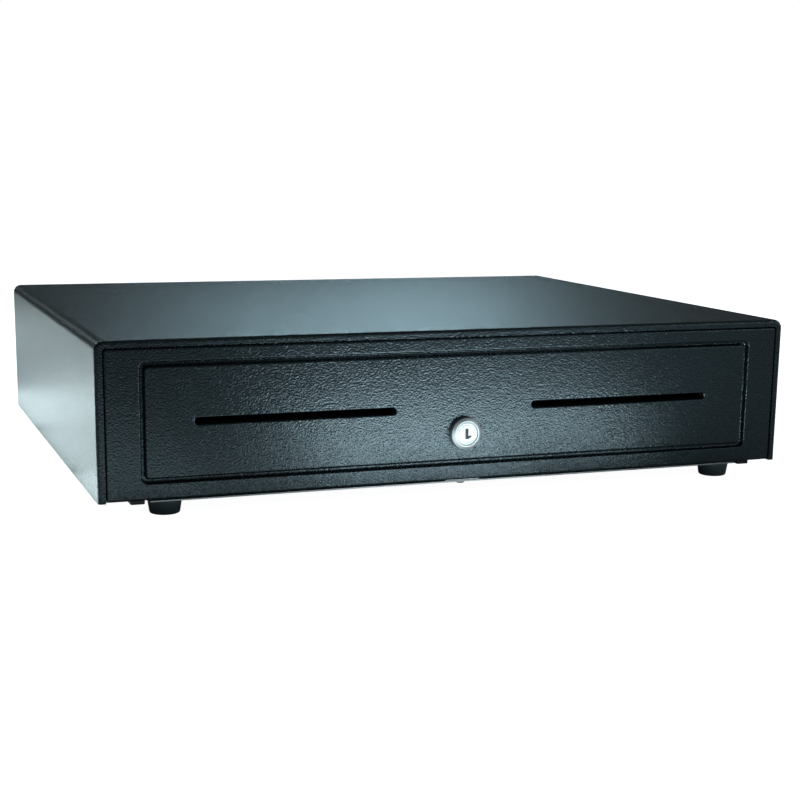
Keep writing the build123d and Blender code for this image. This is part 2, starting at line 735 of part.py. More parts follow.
def make_plunger_spring():
    """Compression spring between the yoke and the plunger's collar."""
    gap = PLUNGER_X - PLUNGER_NECK - 1.5 - (COIL_X1 + FRAME_T)
    spring = coil_spring(PLUNGER_R + 1.0, 0.35, gap - 1.6, 5)
    return group(spring, [Location((COIL_X1 + FRAME_T + 0.8, PLUNGER_Y, LEVER_MID_Z), (0, 90, 0))])


def make_ejector_housing():
    """Tube on a saddle, closed at the rear, for the sprung plunger that starts the drawer out."""
    front_y = 158.0
    rear_y = 188.0
    with BuildPart() as housing:
        with BuildSketch(upright(front_y)):
            with Locations((EJECT_X, EJECT_Z)):
                Circle(EJECT_R)
            with Locations((EJECT_X, TABLE_TOP)):
                Rectangle(EJECT_R + 4, EJECT_Z - TABLE_TOP, align=(Align.CENTER, Align.MIN))
        extrude(amount=-(rear_y - front_y))
        with BuildSketch(upright(front_y)):
            with Locations((EJECT_X, EJECT_Z)):
                Circle(EJECT_BORE)
        extrude(amount=-(rear_y - front_y - 1.5), mode=Mode.SUBTRACT)
    return housing.part


def make_ejector_plunger():
    """Nylon plunger whose domed nose meets the drawer's back wall."""
    with BuildPart() as plunger:
        with BuildSketch(upright(EJECT_TIP_Y)):
            with Locations((EJECT_X, EJECT_Z)):
                Circle(EJECT_BORE - PLUG_CLEARANCE)
        extrude(amount=-22.0)
        fillet(plunger.edges().group_by(Axis.Y)[0], 3.0)
    return plunger.part


def make_ejector_spring():
    """Compression spring behind the ejector's plunger."""
    start_y = EJECT_TIP_Y + 22.0 + 3.5
    spring = coil_spring(3.6, 0.5, 186.0 - start_y - 0.6, 5)
    return group(spring, [Location((EJECT_X, start_y, EJECT_Z), (-90, 0, 0))])


def make_status_switch():
    """Snap-action switch on the table, with the ears that hold its lever's pin."""
    low_z = TABLE_TOP
    with BuildPart() as switch:
        with BuildSketch(upright(SWITCH_FRONT)):
            with Locations((SWITCH_X, low_z)):
                Rectangle(SWITCH_L, SWITCH_H, align=(Align.CENTER, Align.MIN))
        extrude(amount=-8.0)
        with BuildSketch(upright(SWITCH_FRONT)):
            with Locations((SWITCH_X + 3.0, low_z + 6.0)):
                Circle(1.2)
        extrude(amount=1.2)
        for z in (low_z + 1.0, low_z + 10.0):
            with BuildSketch(Plane.XY.offset(z)):
                with Locations((SWITCH_X - 8.0, SWITCH_FRONT - 1.5)):
                    Rectangle(4.0, 3.6)
                    Circle(SWITCH_PIN_R + PLUG_CLEARANCE, mode=Mode.SUBTRACT)
            extrude(amount=1.0)
    return switch.part


def make_switch_lever():
    """Spring steel lever with a roller, which the closed drawer presses."""
    low_z = TABLE_TOP + 2.6
    hinge = (SWITCH_X - 8.0, SWITCH_FRONT - 1.5)
    tip = (SWITCH_X + 14.0, 153.4)
    with BuildPart() as lever:
        with BuildSketch(Plane.XY.offset(low_z)):
            with BuildLine():
                Line(hinge, tip)
            trace(line_width=0.8)
        extrude(amount=6.8)
        with BuildSketch(Plane.XY.offset(TABLE_TOP + 0.8)):
            with Locations(hinge):
                Circle(SWITCH_PIN_R)
        extrude(amount=10.6)
        with BuildSketch(Plane.XY.offset(low_z)):
            with Locations(tip):
                Circle(2.4)
        extrude(amount=6.8)
    return lever.part


# ---- drawer ----------------------------------------------------------------------------
def groove_ring(inset, width):
    """Rectangular ring of that width whose outer edge is the groove's, grown by inset."""
    length = 2 * (GROOVE_X + inset)
    height = GROOVE_TOP - GROOVE_BOTTOM + 2 * inset
    outer_r = GROOVE_R + inset
    inner_r = outer_r - width * GROOVE_CORNER_SHARE
    with Locations((0, (GROOVE_TOP + GROOVE_BOTTOM) / 2)):
        RectangleRounded(length, height, outer_r)
        RectangleRounded(length - 2 * width, height - 2 * width, inner_r, mode=Mode.SUBTRACT)


def on_groove_side(edge, outer):
    """Whether an edge lies along the groove's frame side or, if outer is False, its panel side."""
    inset = 0 if outer else GROOVE_W
    across_x = abs(edge.center().X)
    up_z = edge.center().Z
    mid_z = (GROOVE_TOP + GROOVE_BOTTOM) / 2
    from_x = GROOVE_X - inset - across_x
    from_z = (GROOVE_TOP - GROOVE_BOTTOM) / 2 - inset - abs(up_z - mid_z)
    return -TINY < min(from_x, from_z) < GROOVE_W / 2


def make_drawer_front():
    """Pressed steel front: returned edges, rectangular groove, two lipped slots, lock hole."""
    skin_back = FRONT_Y + SHEET
    mid_z = (FRONT_TOP + FRONT_BOTTOM) / 2
    height = FRONT_TOP - FRONT_BOTTOM
    tab_y = BOX_FRONT - SHEET
    slots = [(-SLOT_X, SLOT_Z), (SLOT_X, SLOT_Z)]
    with BuildPart() as front:
        with BuildSketch(upright(FRONT_Y)):
            with Locations((0, mid_z)):
                RectangleRounded(2 * FRONT_X, height, 1.8)
        extrude(amount=-FRONT_DEPTH)
        fillet(front.faces().sort_by(Axis.Y)[0].edges(), FRONT_EDGE_R)
        with BuildSketch(upright(skin_back)):
            with Locations((0, mid_z)):
                RectangleRounded(2 * (FRONT_X - SHEET), height - 2 * SHEET, 0.8)
        extrude(amount=-(FRONT_DEPTH - SHEET), mode=Mode.SUBTRACT)
        with BuildSketch(upright(skin_back)):
            groove_ring(SHEET, GROOVE_W + 2 * SHEET)
        extrude(amount=-GROOVE_DEPTH)
        with BuildSketch(upright(FRONT_Y)):
            groove_ring(0, GROOVE_W)
        extrude(amount=-GROOVE_DEPTH, mode=Mode.SUBTRACT)
        floor_y = FRONT_Y + GROOVE_DEPTH
        fillet(front.edges().filter_by_position(Axis.Y, floor_y - TINY, floor_y + TINY), GROOVE_FLOOR_R)
        for outer, lip_r in ((True, GROOVE_FRAME_LIP), (False, GROOVE_PANEL_LIP)):
            rim = front.edges().filter_by_position(Axis.Y, FRONT_Y - TINY, FRONT_Y + TINY)
            fillet(rim.filter_by(lambda edge: on_groove_side(edge, outer)), lip_r)
        with BuildSketch(upright(skin_back)):
            with Locations(*slots):
                SlotOverall(SLOT_L + 2 * COLLAR_T, SLOT_H + 2 * COLLAR_T)
        extrude(amount=-COLLAR_DEPTH)
        with BuildSketch(upright(FRONT_Y)):
            with Locations(*slots):
                SlotOverall(SLOT_L, SLOT_H)
        extrude(amount=-(SHEET + COLLAR_DEPTH), mode=Mode.SUBTRACT)
        lips = front.edges().filter_by_position(Axis.Y, FRONT_Y - TINY, FRONT_Y + TINY)
        lips = lips.filter_by(
            lambda edge: abs(abs(edge.center().X) - SLOT_X) < SLOT_L / 2 + 1
            and abs(edge.center().Z - SLOT_Z) < SLOT_H
        )
        fillet(lips, SLOT_LIP)
        with BuildSketch(upright(FRONT_Y)):
            with Locations((0, LOCK_Z)):
                Circle(BARREL_R + 0.1)
        extrude(amount=-SHEET, mode=Mode.SUBTRACT)
        with BuildSketch(upright(tab_y)):
            for x, z in FRONT_TAB_SPOTS:
                edge_z = FRONT_BOTTOM if z < mid_z else FRONT_TOP
                with Locations((x, (z + edge_z) / 2)):
                    Rectangle(TAB_W, abs(z - edge_z))
                with Locations((x, z)):
                    Circle(TAB_R)
            with Locations(*FRONT_TAB_SPOTS):
                Circle(SHANK_HOLE_R, mode=Mode.SUBTRACT)
        extrude(amount=-SHEET)
        with BuildSketch(upright(skin_back)):
            with Locations((0, FRONT_BOTTOM)):
                Rectangle(STRIKE_W + 4.0, SHEET, align=(Align.CENTER, Align.MIN))
        extrude(amount=-FRONT_DEPTH, mode=Mode.SUBTRACT)
    return front.part


def make_drawer_box():
    """Open-topped steel box that carries the till."""
    depth = BOX_REAR - BOX_FRONT
    mid_y = (BOX_REAR + BOX_FRONT) / 2
    with BuildPart() as box:
        with BuildSketch(Plane.XY.offset(BOX_BOTTOM)):
            with Locations((0, mid_y)):
                Rectangle(2 * BOX_X, depth)
        extrude(amount=BOX_TOP - BOX_BOTTOM)
        with BuildSketch(Plane.XY.offset(BOX_BOTTOM + BOX_SHEET)):
            with Locations((0, mid_y)):
                Rectangle(2 * (BOX_X - BOX_SHEET), depth - 2 * BOX_SHEET)
        extrude(amount=BOX_TOP, mode=Mode.SUBTRACT)
        with BuildSketch(upright(BOX_FRONT)):
            with Locations((0, LOCK_Z)):
                Circle(BARREL_R + 0.6)
            with Locations(*[(x, SLOT_Z) for x in (-SLOT_X, SLOT_X)]):
                Rectangle(CHUTE_L + 0.6, CHUTE_H + 0.6)
            with Locations(*FRONT_TAB_SPOTS, *CHUTE_SPOTS):
                Circle(SHANK_HOLE_R)
        extrude(amount=-BOX_SHEET, mode=Mode.SUBTRACT)
        with BuildSketch(upright(BOX_REAR - BOX_SHEET)):
            with Locations(*STRIKER_SCREW_SPOTS):
                Circle(SHANK_HOLE_R)
        extrude(amount=-BOX_SHEET, mode=Mode.SUBTRACT)
        with BuildSketch(Plane.XY.offset(BOX_BOTTOM)):
            with Locations((7.0, CAM_Y)):
                Rectangle(28.0, CAM_T + 3)
        extrude(amount=BOX_SHEET, mode=Mode.SUBTRACT)
        with BuildSketch(Plane.YZ.offset(-BOX_X)):
            with Locations(*[(y, RAIL_Z) for y in SLIDE_RIVET_YS]):
                Circle(SHANK_HOLE_R)
        extrude(amount=2 * BOX_X, mode=Mode.SUBTRACT)
    return box.part


def make_media_chute(side):
    """Duct with a square bend that leads slips from the slot down under the till."""
    start = (FRONT_Y + SHEET + COLLAR_DEPTH + 0.2, SLOT_Z)
    bend = (TILL_FRONT - CHUTE_H / 2 - 0.8, SLOT_Z)
    end = (bend[0], TILL_BOTTOM + 2.0)
    with BuildPart() as chute:
        for width, length, mode in (
            (CHUTE_H, CHUTE_L, Mode.ADD),
            (CHUTE_H - 2 * CHUTE_WALL, CHUTE_L - 2 * CHUTE_WALL, Mode.SUBTRACT),
        ):
            with BuildSketch(Plane.YZ.offset(side * SLOT_X - length / 2)):
                with BuildLine():
                    Polyline(start, bend, end)
                trace(line_width=width)
            extrude(amount=length, mode=mode)
        with BuildSketch(upright(BOX_FRONT + BOX_SHEET)):
            for dx in (-CHUTE_TAB, CHUTE_TAB):
                with Locations((side * SLOT_X + dx, SLOT_Z)):
                    Rectangle(CHUTE_TAB_L, CHUTE_TAB_H)
                    Circle(SHANK_HOLE_R, mode=Mode.SUBTRACT)
        extrude(amount=-CHUTE_TAB_T)
    return chute.part


def make_till_supports():
    """Angle ledges along the box's sides and the plain front ledge under the till."""
    inner_x = BOX_X - BOX_SHEET
    length = TILL_REAR - TILL_FRONT
    with BuildPart() as supports:
        for side in (-1, 1):
            with BuildSketch(upright(TILL_FRONT)):
                with Locations((side * (inner_x - 7.0), TILL_BOTTOM - 0.6)):
                    Rectangle(14.0, 1.2)
                with Locations((side * (inner_x - 0.6), TILL_BOTTOM - 7.0)):
                    Rectangle(1.2, 14.0)
            extrude(amount=-length)
    return supports.part


def make_till():
    """Moulded tray: five coin bays in front, five note bays behind, and a rod shelf."""
    mid_y = (TILL_FRONT + TILL_REAR) / 2
    depth = TILL_REAR - TILL_FRONT
    floor_z = TILL_BOTTOM + TILL_WALL
    coin_l = CROSS_Y - TILL_FRONT - TILL_WALL
    note_l = LEDGE_Y - CROSS_Y - TILL_WALL
    shelf_l = TILL_REAR - TILL_WALL - LEDGE_Y
    with BuildPart() as till:
        with BuildSketch(Plane.XY.offset(TILL_BOTTOM)):
            with Locations((0, mid_y)):
                RectangleRounded(2 * TILL_X, depth, 5.0)
        extrude(amount=TILL_TOP - TILL_BOTTOM)
        with BuildSketch(Plane.XY.offset(TILL_TOP - 2.5)):
            with Locations((0, mid_y)):
                RectangleRounded(2 * (TILL_X + 3.2), depth + 2.4, 6.0)
        extrude(amount=2.5)
        for x in BAY_XS:
            with BuildSketch(Plane.XY.offset(floor_z)):
                with Locations((x, TILL_FRONT + TILL_WALL + coin_l / 2)):
                    RectangleRounded(BAY_W, coin_l, 0.6)
                with Locations((x, CROSS_Y + TILL_WALL + note_l / 2)):
                    RectangleRounded(BAY_W, note_l, 4.0)
            extrude(amount=TILL_TOP, mode=Mode.SUBTRACT)
            with BuildSketch(Plane.XY.offset(LEDGE_Z)):
                with Locations((x, LEDGE_Y + shelf_l / 2 - 1.0)):
                    Rectangle(BAY_W, shelf_l + 2.0)
            extrude(amount=TILL_TOP, mode=Mode.SUBTRACT)
            with BuildSketch(Plane.XY.offset(TILL_BOTTOM)):
                with Locations((x, LEDGE_Y + TILL_WALL + (shelf_l - TILL_WALL) / 2)):
                    Rectangle(BAY_W, shelf_l - TILL_WALL)
            extrude(amount=LEDGE_Z - TILL_WALL - TILL_BOTTOM, mode=Mode.SUBTRACT)
        with BuildSketch(Plane.XY.offset(DIVIDER_TOP)):
            with Locations((0, mid_y)):
                RectangleRounded(2 * (TILL_X - TILL_WALL), depth - 2 * TILL_WALL, 4.0)
        extrude(amount=TILL_TOP, mode=Mode.SUBTRACT)
        with BuildSketch(upright(CROSS_Y - 1.0)):
            with Locations(*[(x, DIVIDER_TOP) for x in BAY_XS]):
                SlotOverall(BAY_W * 0.7, 34.0)
        extrude(amount=-(TILL_WALL + 2.0), mode=Mode.SUBTRACT)
        with BuildSketch(Plane.YZ.offset(-TILL_X)):
            with Locations((ROD_Y, ROD_Z)):
                Circle(ROD_R + PLUG_CLEARANCE)
        extrude(amount=2 * TILL_X, mode=Mode.SUBTRACT)
    return till.part


def make_coin_cup(x):
    """Lift-out coin cup with a scooped bottom."""
    front = TILL_FRONT + TILL_WALL + 0.4
    rear = CROSS_Y - 0.4
    low = TILL_BOTTOM + TILL_WALL + 0.2
    top = 84.0
    scoop_r = 20.0
    wall = 1.6
    width = BAY_W - 0.8
    with BuildPart() as cup:
        for inset, length, mode in ((0, width, Mode.ADD), (wall, width - 2 * wall, Mode.SUBTRACT)):
            with BuildSketch(Plane.YZ.offset(x - length / 2)):
                with BuildLine():
                    FilletPolyline(
                        (front + inset, top), (front + inset, low + inset),
                        (rear - inset, low + inset), (rear - inset, top), radius=scoop_r - inset,
                    )
                    Line((rear - inset, top), (front + inset, top))
                make_face()
            extrude(amount=length, mode=mode)
        fillet(cup.edges().filter_by(Axis.Z), 0.7)
    return cup.part


def make_clip_rod():
    """Steel rod across the till that the note clips turn on."""
    with BuildPart() as rod:
        with BuildSketch(Plane.YZ.offset(-TILL_X - 2.5)):
            with Locations((ROD_Y, ROD_Z)):
                Circle(ROD_R)
        extrude(amount=2 * TILL_X + 5)
    return rod.part


def make_note_clip(x):
    """Moulded clip: hub on the rod, tapering arm, rounded foot that holds the notes down."""
    tip = (ROD_Y + CLIP_REACH_Y, ROD_Z + CLIP_REACH_Z)
    reach = math.hypot(CLIP_REACH_Y, CLIP_REACH_Z)
    along = (CLIP_REACH_Y / reach, CLIP_REACH_Z / reach)
    arm_start = (ROD_Y + along[0] * (HUB_R - 1), ROD_Z + along[1] * (HUB_R - 1))
    with BuildPart() as clip:
        with BuildSketch(Plane.YZ.offset(x - HUB_L / 2)):
            with Locations((ROD_Y, ROD_Z)):
                Circle(HUB_R)
        extrude(amount=HUB_L)
        with BuildSketch(Plane.YZ.offset(x - 12.0)):
            with BuildLine():
                Line(arm_start, tip)
            trace(line_width=3.2)
        extrude(amount=24.0)
        with BuildSketch(Plane.YZ.offset(x - 24.0)):
            with Locations(tip):
                Circle(CLIP_FOOT_R)
        extrude(amount=48.0)
        with BuildSketch(Plane.YZ.offset(x - HUB_L / 2)):
            with Locations((ROD_Y, ROD_Z)):
                Circle(ROD_R + PLUG_CLEARANCE)
        extrude(amount=HUB_L, mode=Mode.SUBTRACT)
        fillet(clip.faces().filter_by(Axis.X).group_by(Axis.X)[-1].edges(), 1.0)
        fillet(clip.faces().filter_by(Axis.X).group_by(Axis.X)[0].edges(), 1.0)
    return clip.part


def make_clip_springs():
    """Torsion springs on the rod beside the clips."""
    spring = coil_spring(ROD_R + 0.7, 0.4, 8.0, 7)
    return group(spring, [Location((x + HUB_L / 2 + 1.5, ROD_Y, ROD_Z), (0, 90, 0)) for x in BAY_XS])


def make_striker():
    """Pin between two ears on the drawer's back wall, which the latch hooks."""
    low_z = 38.5
    high_z = 53.0
    ear_rear = STRIKER_Y + 4.0
    with BuildPart() as striker:
        with BuildSketch(upright(BOX_REAR)):
            with Locations((0, (low_z + high_z + TABLE_T) / 2)):
                Rectangle(32.0, high_z + TABLE_T - low_z)
            with Locations(*STRIKER_SCREW_SPOTS):
                Circle(SHANK_HOLE_R, mode=Mode.SUBTRACT)
        extrude(amount=-TABLE_T)
        for z in (low_z, high_z):
            with BuildSketch(Plane.XY.offset(z)):
                with Locations((0, (BOX_REAR + ear_rear) / 2)):
                    Rectangle(13.0, ear_rear - BOX_REAR)
            extrude(amount=TABLE_T)
        with BuildSketch(Plane.XY.offset(low_z)):
            with Locations((0, STRIKER_Y)):
                Circle(STRIKER_PIN_R)
        extrude(amount=high_z - low_z + TABLE_T)
    return striker.part


# ---- lock ------------------------------------------------------------------------------
def make_lock_body():
    """Bevelled bezel, which stands proud of the drawer front, and the barrel behind it."""
    face_y = FRONT_Y - LOCK_PROUD
    bore_r = PLUG_R + PLUG_CLEARANCE
    with BuildPart() as body:
        with BuildSketch(Plane.XY.offset(LOCK_Z)):
            with BuildLine():
                Polyline(
                    (bore_r, BARREL_BACK), (BARREL_R, BARREL_BACK), (BARREL_R, FRONT_Y), (BEZEL_R, FRONT_Y),
                    (BEZEL_R, face_y + BEZEL_BEVEL), (BEZEL_FACE_R, face_y), (bore_r, face_y),
                    (bore_r, BARREL_BACK),
                )
            make_face()
        revolve(axis=Axis((0, 0, LOCK_Z), (0, 1, 0)))
    return body.part


def make_lock_nut():
    """Hexagon nut that clamps the lock from behind."""
    with BuildPart() as nut:
        with BuildSketch(upright(FRONT_Y + SHEET)):
            with Locations((0, LOCK_Z)):
                RegularPolygon(14.0, 6)
                Circle(BARREL_R + 0.05, mode=Mode.SUBTRACT)
        extrude(amount=-3.0)
        chamfer(nut.edges().group_by(Axis.Y)[-1].filter_by(GeomType.LINE), 0.6)
    return nut.part


def make_lock_plug():
    """Turning plug with its key slot and the squared tail for the cam."""
    face_y = FRONT_Y - LOCK_PROUD + PLUG_INSET
    body_back = BARREL_BACK + 1.0
    cam_back = CAM_Y + CAM_T / 2
    with BuildPart() as plug:
        with BuildSketch(upright(face_y)):
            with Locations((0, LOCK_Z)):
                Circle(PLUG_R)
        extrude(amount=-(body_back - face_y))
        fillet(plug.edges().group_by(Axis.Y)[0], PLUG_INSET)
        with BuildSketch(upright(body_back)):
            with Locations((0, LOCK_Z)):
                RectangleRounded(2 * CAM_TAIL_R, 2 * CAM_TAIL_R, 0.5)
        extrude(amount=-(cam_back - body_back))
        with BuildSketch(upright(cam_back)):
            with Locations((0, LOCK_Z)):
                Circle(CAM_TAIL_R + 2.0)
        extrude(amount=-1.6)
        with BuildSketch(upright(face_y)):
            with Locations((0, LOCK_Z)):
                SlotOverall(KEY_H, KEY_W, rotation=90)
            with Locations((KEY_HOOK_L / 3, LOCK_Z - KEY_H / 2 + KEY_HOOK_W)):
                SlotOverall(KEY_HOOK_L, KEY_HOOK_W, rotation=35)
        extrude(amount=-KEY_DEPTH, mode=Mode.SUBTRACT)
    return plug.part


def make_lock_cam():
    """Flat lever on the plug's tail; it points right when open and down when locked."""
    with BuildPart() as cam:
        with BuildSketch(upright(CAM_Y - CAM_T / 2)):
            with Locations((0, LOCK_Z)):
                Circle(CAM_HUB_R)
            with Locations((CAM_REACH / 2, LOCK_Z)):
                Rectangle(CAM_REACH, CAM_W)
            with Locations((0, LOCK_Z)):
                RectangleRounded(2 * CAM_TAIL_R + 0.1, 2 * CAM_TAIL_R + 0.1, 0.5, mode=Mode.SUBTRACT)
        extrude(amount=-CAM_T)
        fillet(cam.edges().filter_by(Axis.Y).group_by(Axis.X)[-1], 2.0)
    return cam.part


# ---- all pieces ------------------------------------------------------------------------
FOOT_SCREW = pan_head(3.6, 2.2, SHANK_R, FOOT_H - FOOT_RECESS + PAN_T + 0.3)
PAN_RIVET = dome_rivet(3.2, 1.2, SHANK_R, PAN_T + SHEET, 2.6, 1.0)
BRACKET_RIVET = dome_rivet(3.2, 1.2, SHANK_R, PAN_T + TABLE_T, 2.6, 1.0)
STRIKE_FASTENER = pan_head(2.8, 1.4, SHANK_R, PAN_T + SHEET + 1.2)
REAR_SCREW = pan_head(3.0, 2.5, SHANK_R, 6.0)
SHORT_SCREW = pan_head(2.8, 1.8, SHANK_R, 4.0)
SLIDE_RIVET = dome_rivet(3.0, 1.0, SHANK_R, BOX_SHEET + RAIL_T, 2.4, 0.9)

pieces = {
    "cover": make_cover(),
    "base_pan": make_base_pan(),
    "rear_panel": make_rear_panel(),
    "rear_screws": group(REAR_SCREW, facing_rear(REAR_SCREW_SPOTS, REAR_Y)),
    "pan_rivets": group(PAN_RIVET, facing_down(PAN_RIVET_SPOTS, FOOT_H)),
    "bracket_rivets": group(BRACKET_RIVET, facing_down(BRACKET_RIVET_SPOTS, FOOT_H)),
    "interface_socket": make_interface_socket(),
    "front_glides": group(make_front_glide(), [(-GLIDE_X, 0), (GLIDE_X, 0)]),
    "lock_strike": make_lock_strike(),
    "strike_screw": group(STRIKE_FASTENER, facing_down([STRIKE_SCREW], FOOT_H)),
    "rubber_feet": group(make_foot(), FOOT_SPOTS),
    "foot_screws": group(FOOT_SCREW, facing_down(FOOT_SPOTS, FOOT_RECESS)),
    "stop_brackets": group(make_stop_bracket(), [(-STOP_X, 0), (STOP_X, 0)]),
    "rear_bumpers": group(make_bumper(), [(-STOP_X, 0), (STOP_X, 0)]),
    "latch_bracket": make_latch_bracket(),
    "latch_pivot_pin": make_latch_pin(),
    "latch_lever": make_latch_lever(),
    "solenoid_frame": make_solenoid_frame(),
    "solenoid_coil": make_solenoid_coil(),
    "solenoid_plunger": make_solenoid_plunger(),
    "plunger_spring": make_plunger_spring(),
    "ejector_housing": make_ejector_housing(),
    "ejector_plunger": make_ejector_plunger(),
    "ejector_spring": make_ejector_spring(),
    "status_switch": make_status_switch(),
    "switch_lever": make_switch_lever(),
    "drawer_front": make_drawer_front(),
    "drawer_box": make_drawer_box(),
    "drawer_screws": group(
        SHORT_SCREW,
        facing_rear(FRONT_TAB_SPOTS, BOX_FRONT + BOX_SHEET)
        + facing_rear(CHUTE_SPOTS, BOX_FRONT + BOX_SHEET + CHUTE_TAB_T)
        + facing_rear(STRIKER_SCREW_SPOTS, BOX_REAR + TABLE_T),
    ),
    "till_supports": make_till_supports(),
    "slide_rivets": group(
        SLIDE_RIVET,
        [Location((side * (BOX_X - BOX_SHEET), y, RAIL_Z), (0, -side * 90, 0))
         for side in (-1, 1) for y in SLIDE_RIVET_YS],
    ),
    "till": make_till(),
    "clip_rod": make_clip_rod(),
    "clip_springs": make_clip_springs(),
    "striker": make_striker(),
    "lock_body": make_lock_body(),
    "lock_nut": make_lock_nut(),
    "lock_plug": make_lock_plug(),
    "lock_cam": make_lock_cam(),
}
for name, side in (("left", -1), ("right", 1)):
    pieces[f"slide_outer_{name}"] = make_outer_rail(side)
    pieces[f"slide_inner_{name}"] = make_inner_rail(side)
    pieces[f"ball_cage_{name}"] = make_ball_cage(side)
    pieces[f"slide_balls_{name}"] = make_balls(side)
    pieces[f"media_chute_{name}"] = make_media_chute(side)
for number, x in enumerate(BAY_XS, start=1):
    pieces[f"coin_cup_{number}"] = make_coin_cup(x)
    pieces[f"note_clip_{number}"] = make_note_clip(x)

os.makedirs("parts", exist_ok=True)
for label, piece in pieces.items():
    piece.label = label
    export_step(piece, f"parts/{label}.step")
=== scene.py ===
import json
import math

import bmesh
import bpy
from mathutils import Matrix, Vector


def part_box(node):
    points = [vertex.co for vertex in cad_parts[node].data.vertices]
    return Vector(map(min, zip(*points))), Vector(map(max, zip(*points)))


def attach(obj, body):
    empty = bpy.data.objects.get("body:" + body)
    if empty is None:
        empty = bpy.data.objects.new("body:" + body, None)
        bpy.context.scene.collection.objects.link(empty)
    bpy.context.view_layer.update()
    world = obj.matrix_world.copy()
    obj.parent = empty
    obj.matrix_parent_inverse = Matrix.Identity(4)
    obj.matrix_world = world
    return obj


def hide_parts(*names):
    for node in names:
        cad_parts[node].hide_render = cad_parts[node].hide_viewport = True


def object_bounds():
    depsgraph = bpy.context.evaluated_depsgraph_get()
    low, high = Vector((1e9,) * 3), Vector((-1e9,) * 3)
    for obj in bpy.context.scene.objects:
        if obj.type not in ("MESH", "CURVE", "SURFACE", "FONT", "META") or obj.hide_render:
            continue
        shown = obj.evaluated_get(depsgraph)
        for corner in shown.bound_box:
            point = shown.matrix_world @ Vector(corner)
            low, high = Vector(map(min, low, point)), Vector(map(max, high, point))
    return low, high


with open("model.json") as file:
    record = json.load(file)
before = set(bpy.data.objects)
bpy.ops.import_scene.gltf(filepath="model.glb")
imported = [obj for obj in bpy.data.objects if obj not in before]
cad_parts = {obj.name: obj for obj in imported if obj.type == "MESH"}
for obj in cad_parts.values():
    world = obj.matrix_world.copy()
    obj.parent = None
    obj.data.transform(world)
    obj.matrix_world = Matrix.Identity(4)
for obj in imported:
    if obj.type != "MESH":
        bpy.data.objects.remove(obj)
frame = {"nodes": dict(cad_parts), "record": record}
CAD_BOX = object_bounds()
MM = 0.001

# ---- camera, floor and lights ----------------------------------------------------------
CAMERA_PLACE = Vector((-0.390, -1.108, 0.223))
CAMERA_AZIMUTH = math.radians(-20.68)
CAMERA_ELEVATION = math.radians(12.11)
CAMERA_ROLL = math.radians(0.74)
CAMERA_LENS = 69.66
CAMERA_SHIFT_UP = 0.10
COOL_LIGHT = (0.82, 0.98, 1.0)
SKY_LIGHT = (0.60, 0.88, 1.0)
WHITE = (1.0, 1.0, 1.0)
AMBIENT = 0.06
FLOOR_GLOW = 0.97
FLOOR_RADIUS = 6.0

# soft boxes round the object: name, place, target, width, height, watts and colour
SOFTBOXES = [
    ("right_fill", (1.4, 0.2, 0.55), (0.24, 0.0, 0.05), 0.8, 0.5, 3.0, COOL_LIGHT),
    ("back_fill", (-0.1, 1.2, 2.0), (0.0, 0.4, 0.0), 0.8, 0.5, 5.0, COOL_LIGHT),
    ("back_left", (-1.1, 1.2, 1.0), (0.0, 0.0, 0.1), 0.9, 0.5, 6.0, COOL_LIGHT),
    ("front_right", (1.2, -1.3, 0.75), (0.0, 0.0, 0.1), 0.9, 0.5, 2.5, COOL_LIGHT),
]
# soft boxes behind the object: x, z, width, height and watts
REAR_Y = 0.95
REAR_TARGET = (0.0, 0.0, 0.1)
REAR_BOXES = [
    (0.10, 0.60, 0.22, 0.25, 0.349),
    (0.28, 0.60, 0.22, 0.25, 0.733),
    (0.46, 0.60, 0.22, 0.25, 0.952),
    (0.66, 0.60, 0.22, 0.25, 0.083),
]
# cards that glow upwards from the floor and show only as reflections: x, y, width, depth and watts
CARD_Z = 0.003
FLOOR_CARDS = [
    (-0.240, -0.255, 0.13, 0.070, 0.023),
    (-0.120, -0.255, 0.13, 0.070, 0.027),
    (0.000, -0.255, 0.13, 0.070, 0.041),
    (-0.240, -0.330, 0.13, 0.085, 0.050),
    (0.000, -0.330, 0.13, 0.085, 0.466),
    (0.120, -0.330, 0.13, 0.085, 0.388),
    (-0.275, 0.030, 0.06, 0.160, 0.065),
    (-0.275, 0.220, 0.06, 0.200, 0.092),
    (-0.300, 0.450, 0.12, 0.260, 0.044),
    (-0.380, 0.800, 0.24, 0.400, 0.295),
    (-0.400, 0.250, 0.16, 0.300, 0.428),
    (-0.275, -0.120, 0.06, 0.120, 0.070),
    (0.320, 0.100, 0.12, 0.500, 0.200),
    (0.000, 0.300, 0.40, 0.120, 0.150),
]


def make_camera():
    """Camera at the height, distance and turn that the object is shown from."""
    data = bpy.data.cameras.new("camera")
    data.lens = CAMERA_LENS
    data.shift_y = CAMERA_SHIFT_UP
    camera = bpy.data.objects.new("camera", data)
    bpy.context.scene.collection.objects.link(camera)
    turn = Matrix.Rotation(CAMERA_AZIMUTH, 4, "Z")
    tilt = Matrix.Rotation(math.pi / 2 - CAMERA_ELEVATION, 4, "X")
    roll = Matrix.Rotation(CAMERA_ROLL, 4, "Z")
    camera.matrix_world = Matrix.Translation(CAMERA_PLACE) @ turn @ tilt @ roll
    bpy.context.scene.camera = camera


def aim(obj, place, target):
    """Puts a light at place, shining at target."""
    direction = Vector(target) - Vector(place)
    obj.location = place
    obj.rotation_euler = direction.to_track_quat("-Z", "Y").to_euler()


def add_panel(name, place, target, width, height, watts, colour):
    """Rectangular soft light, which shows in reflections but not in the picture itself."""
    data = bpy.data.lights.new(name, "AREA")
    data.shape = "RECTANGLE"
    data.size = width
    data.size_y = height
    data.energy = watts
    data.color = colour
    light = bpy.data.objects.new(name, data)
    light.visible_camera = False
    bpy.context.scene.collection.objects.link(light)
    aim(light, place, target)


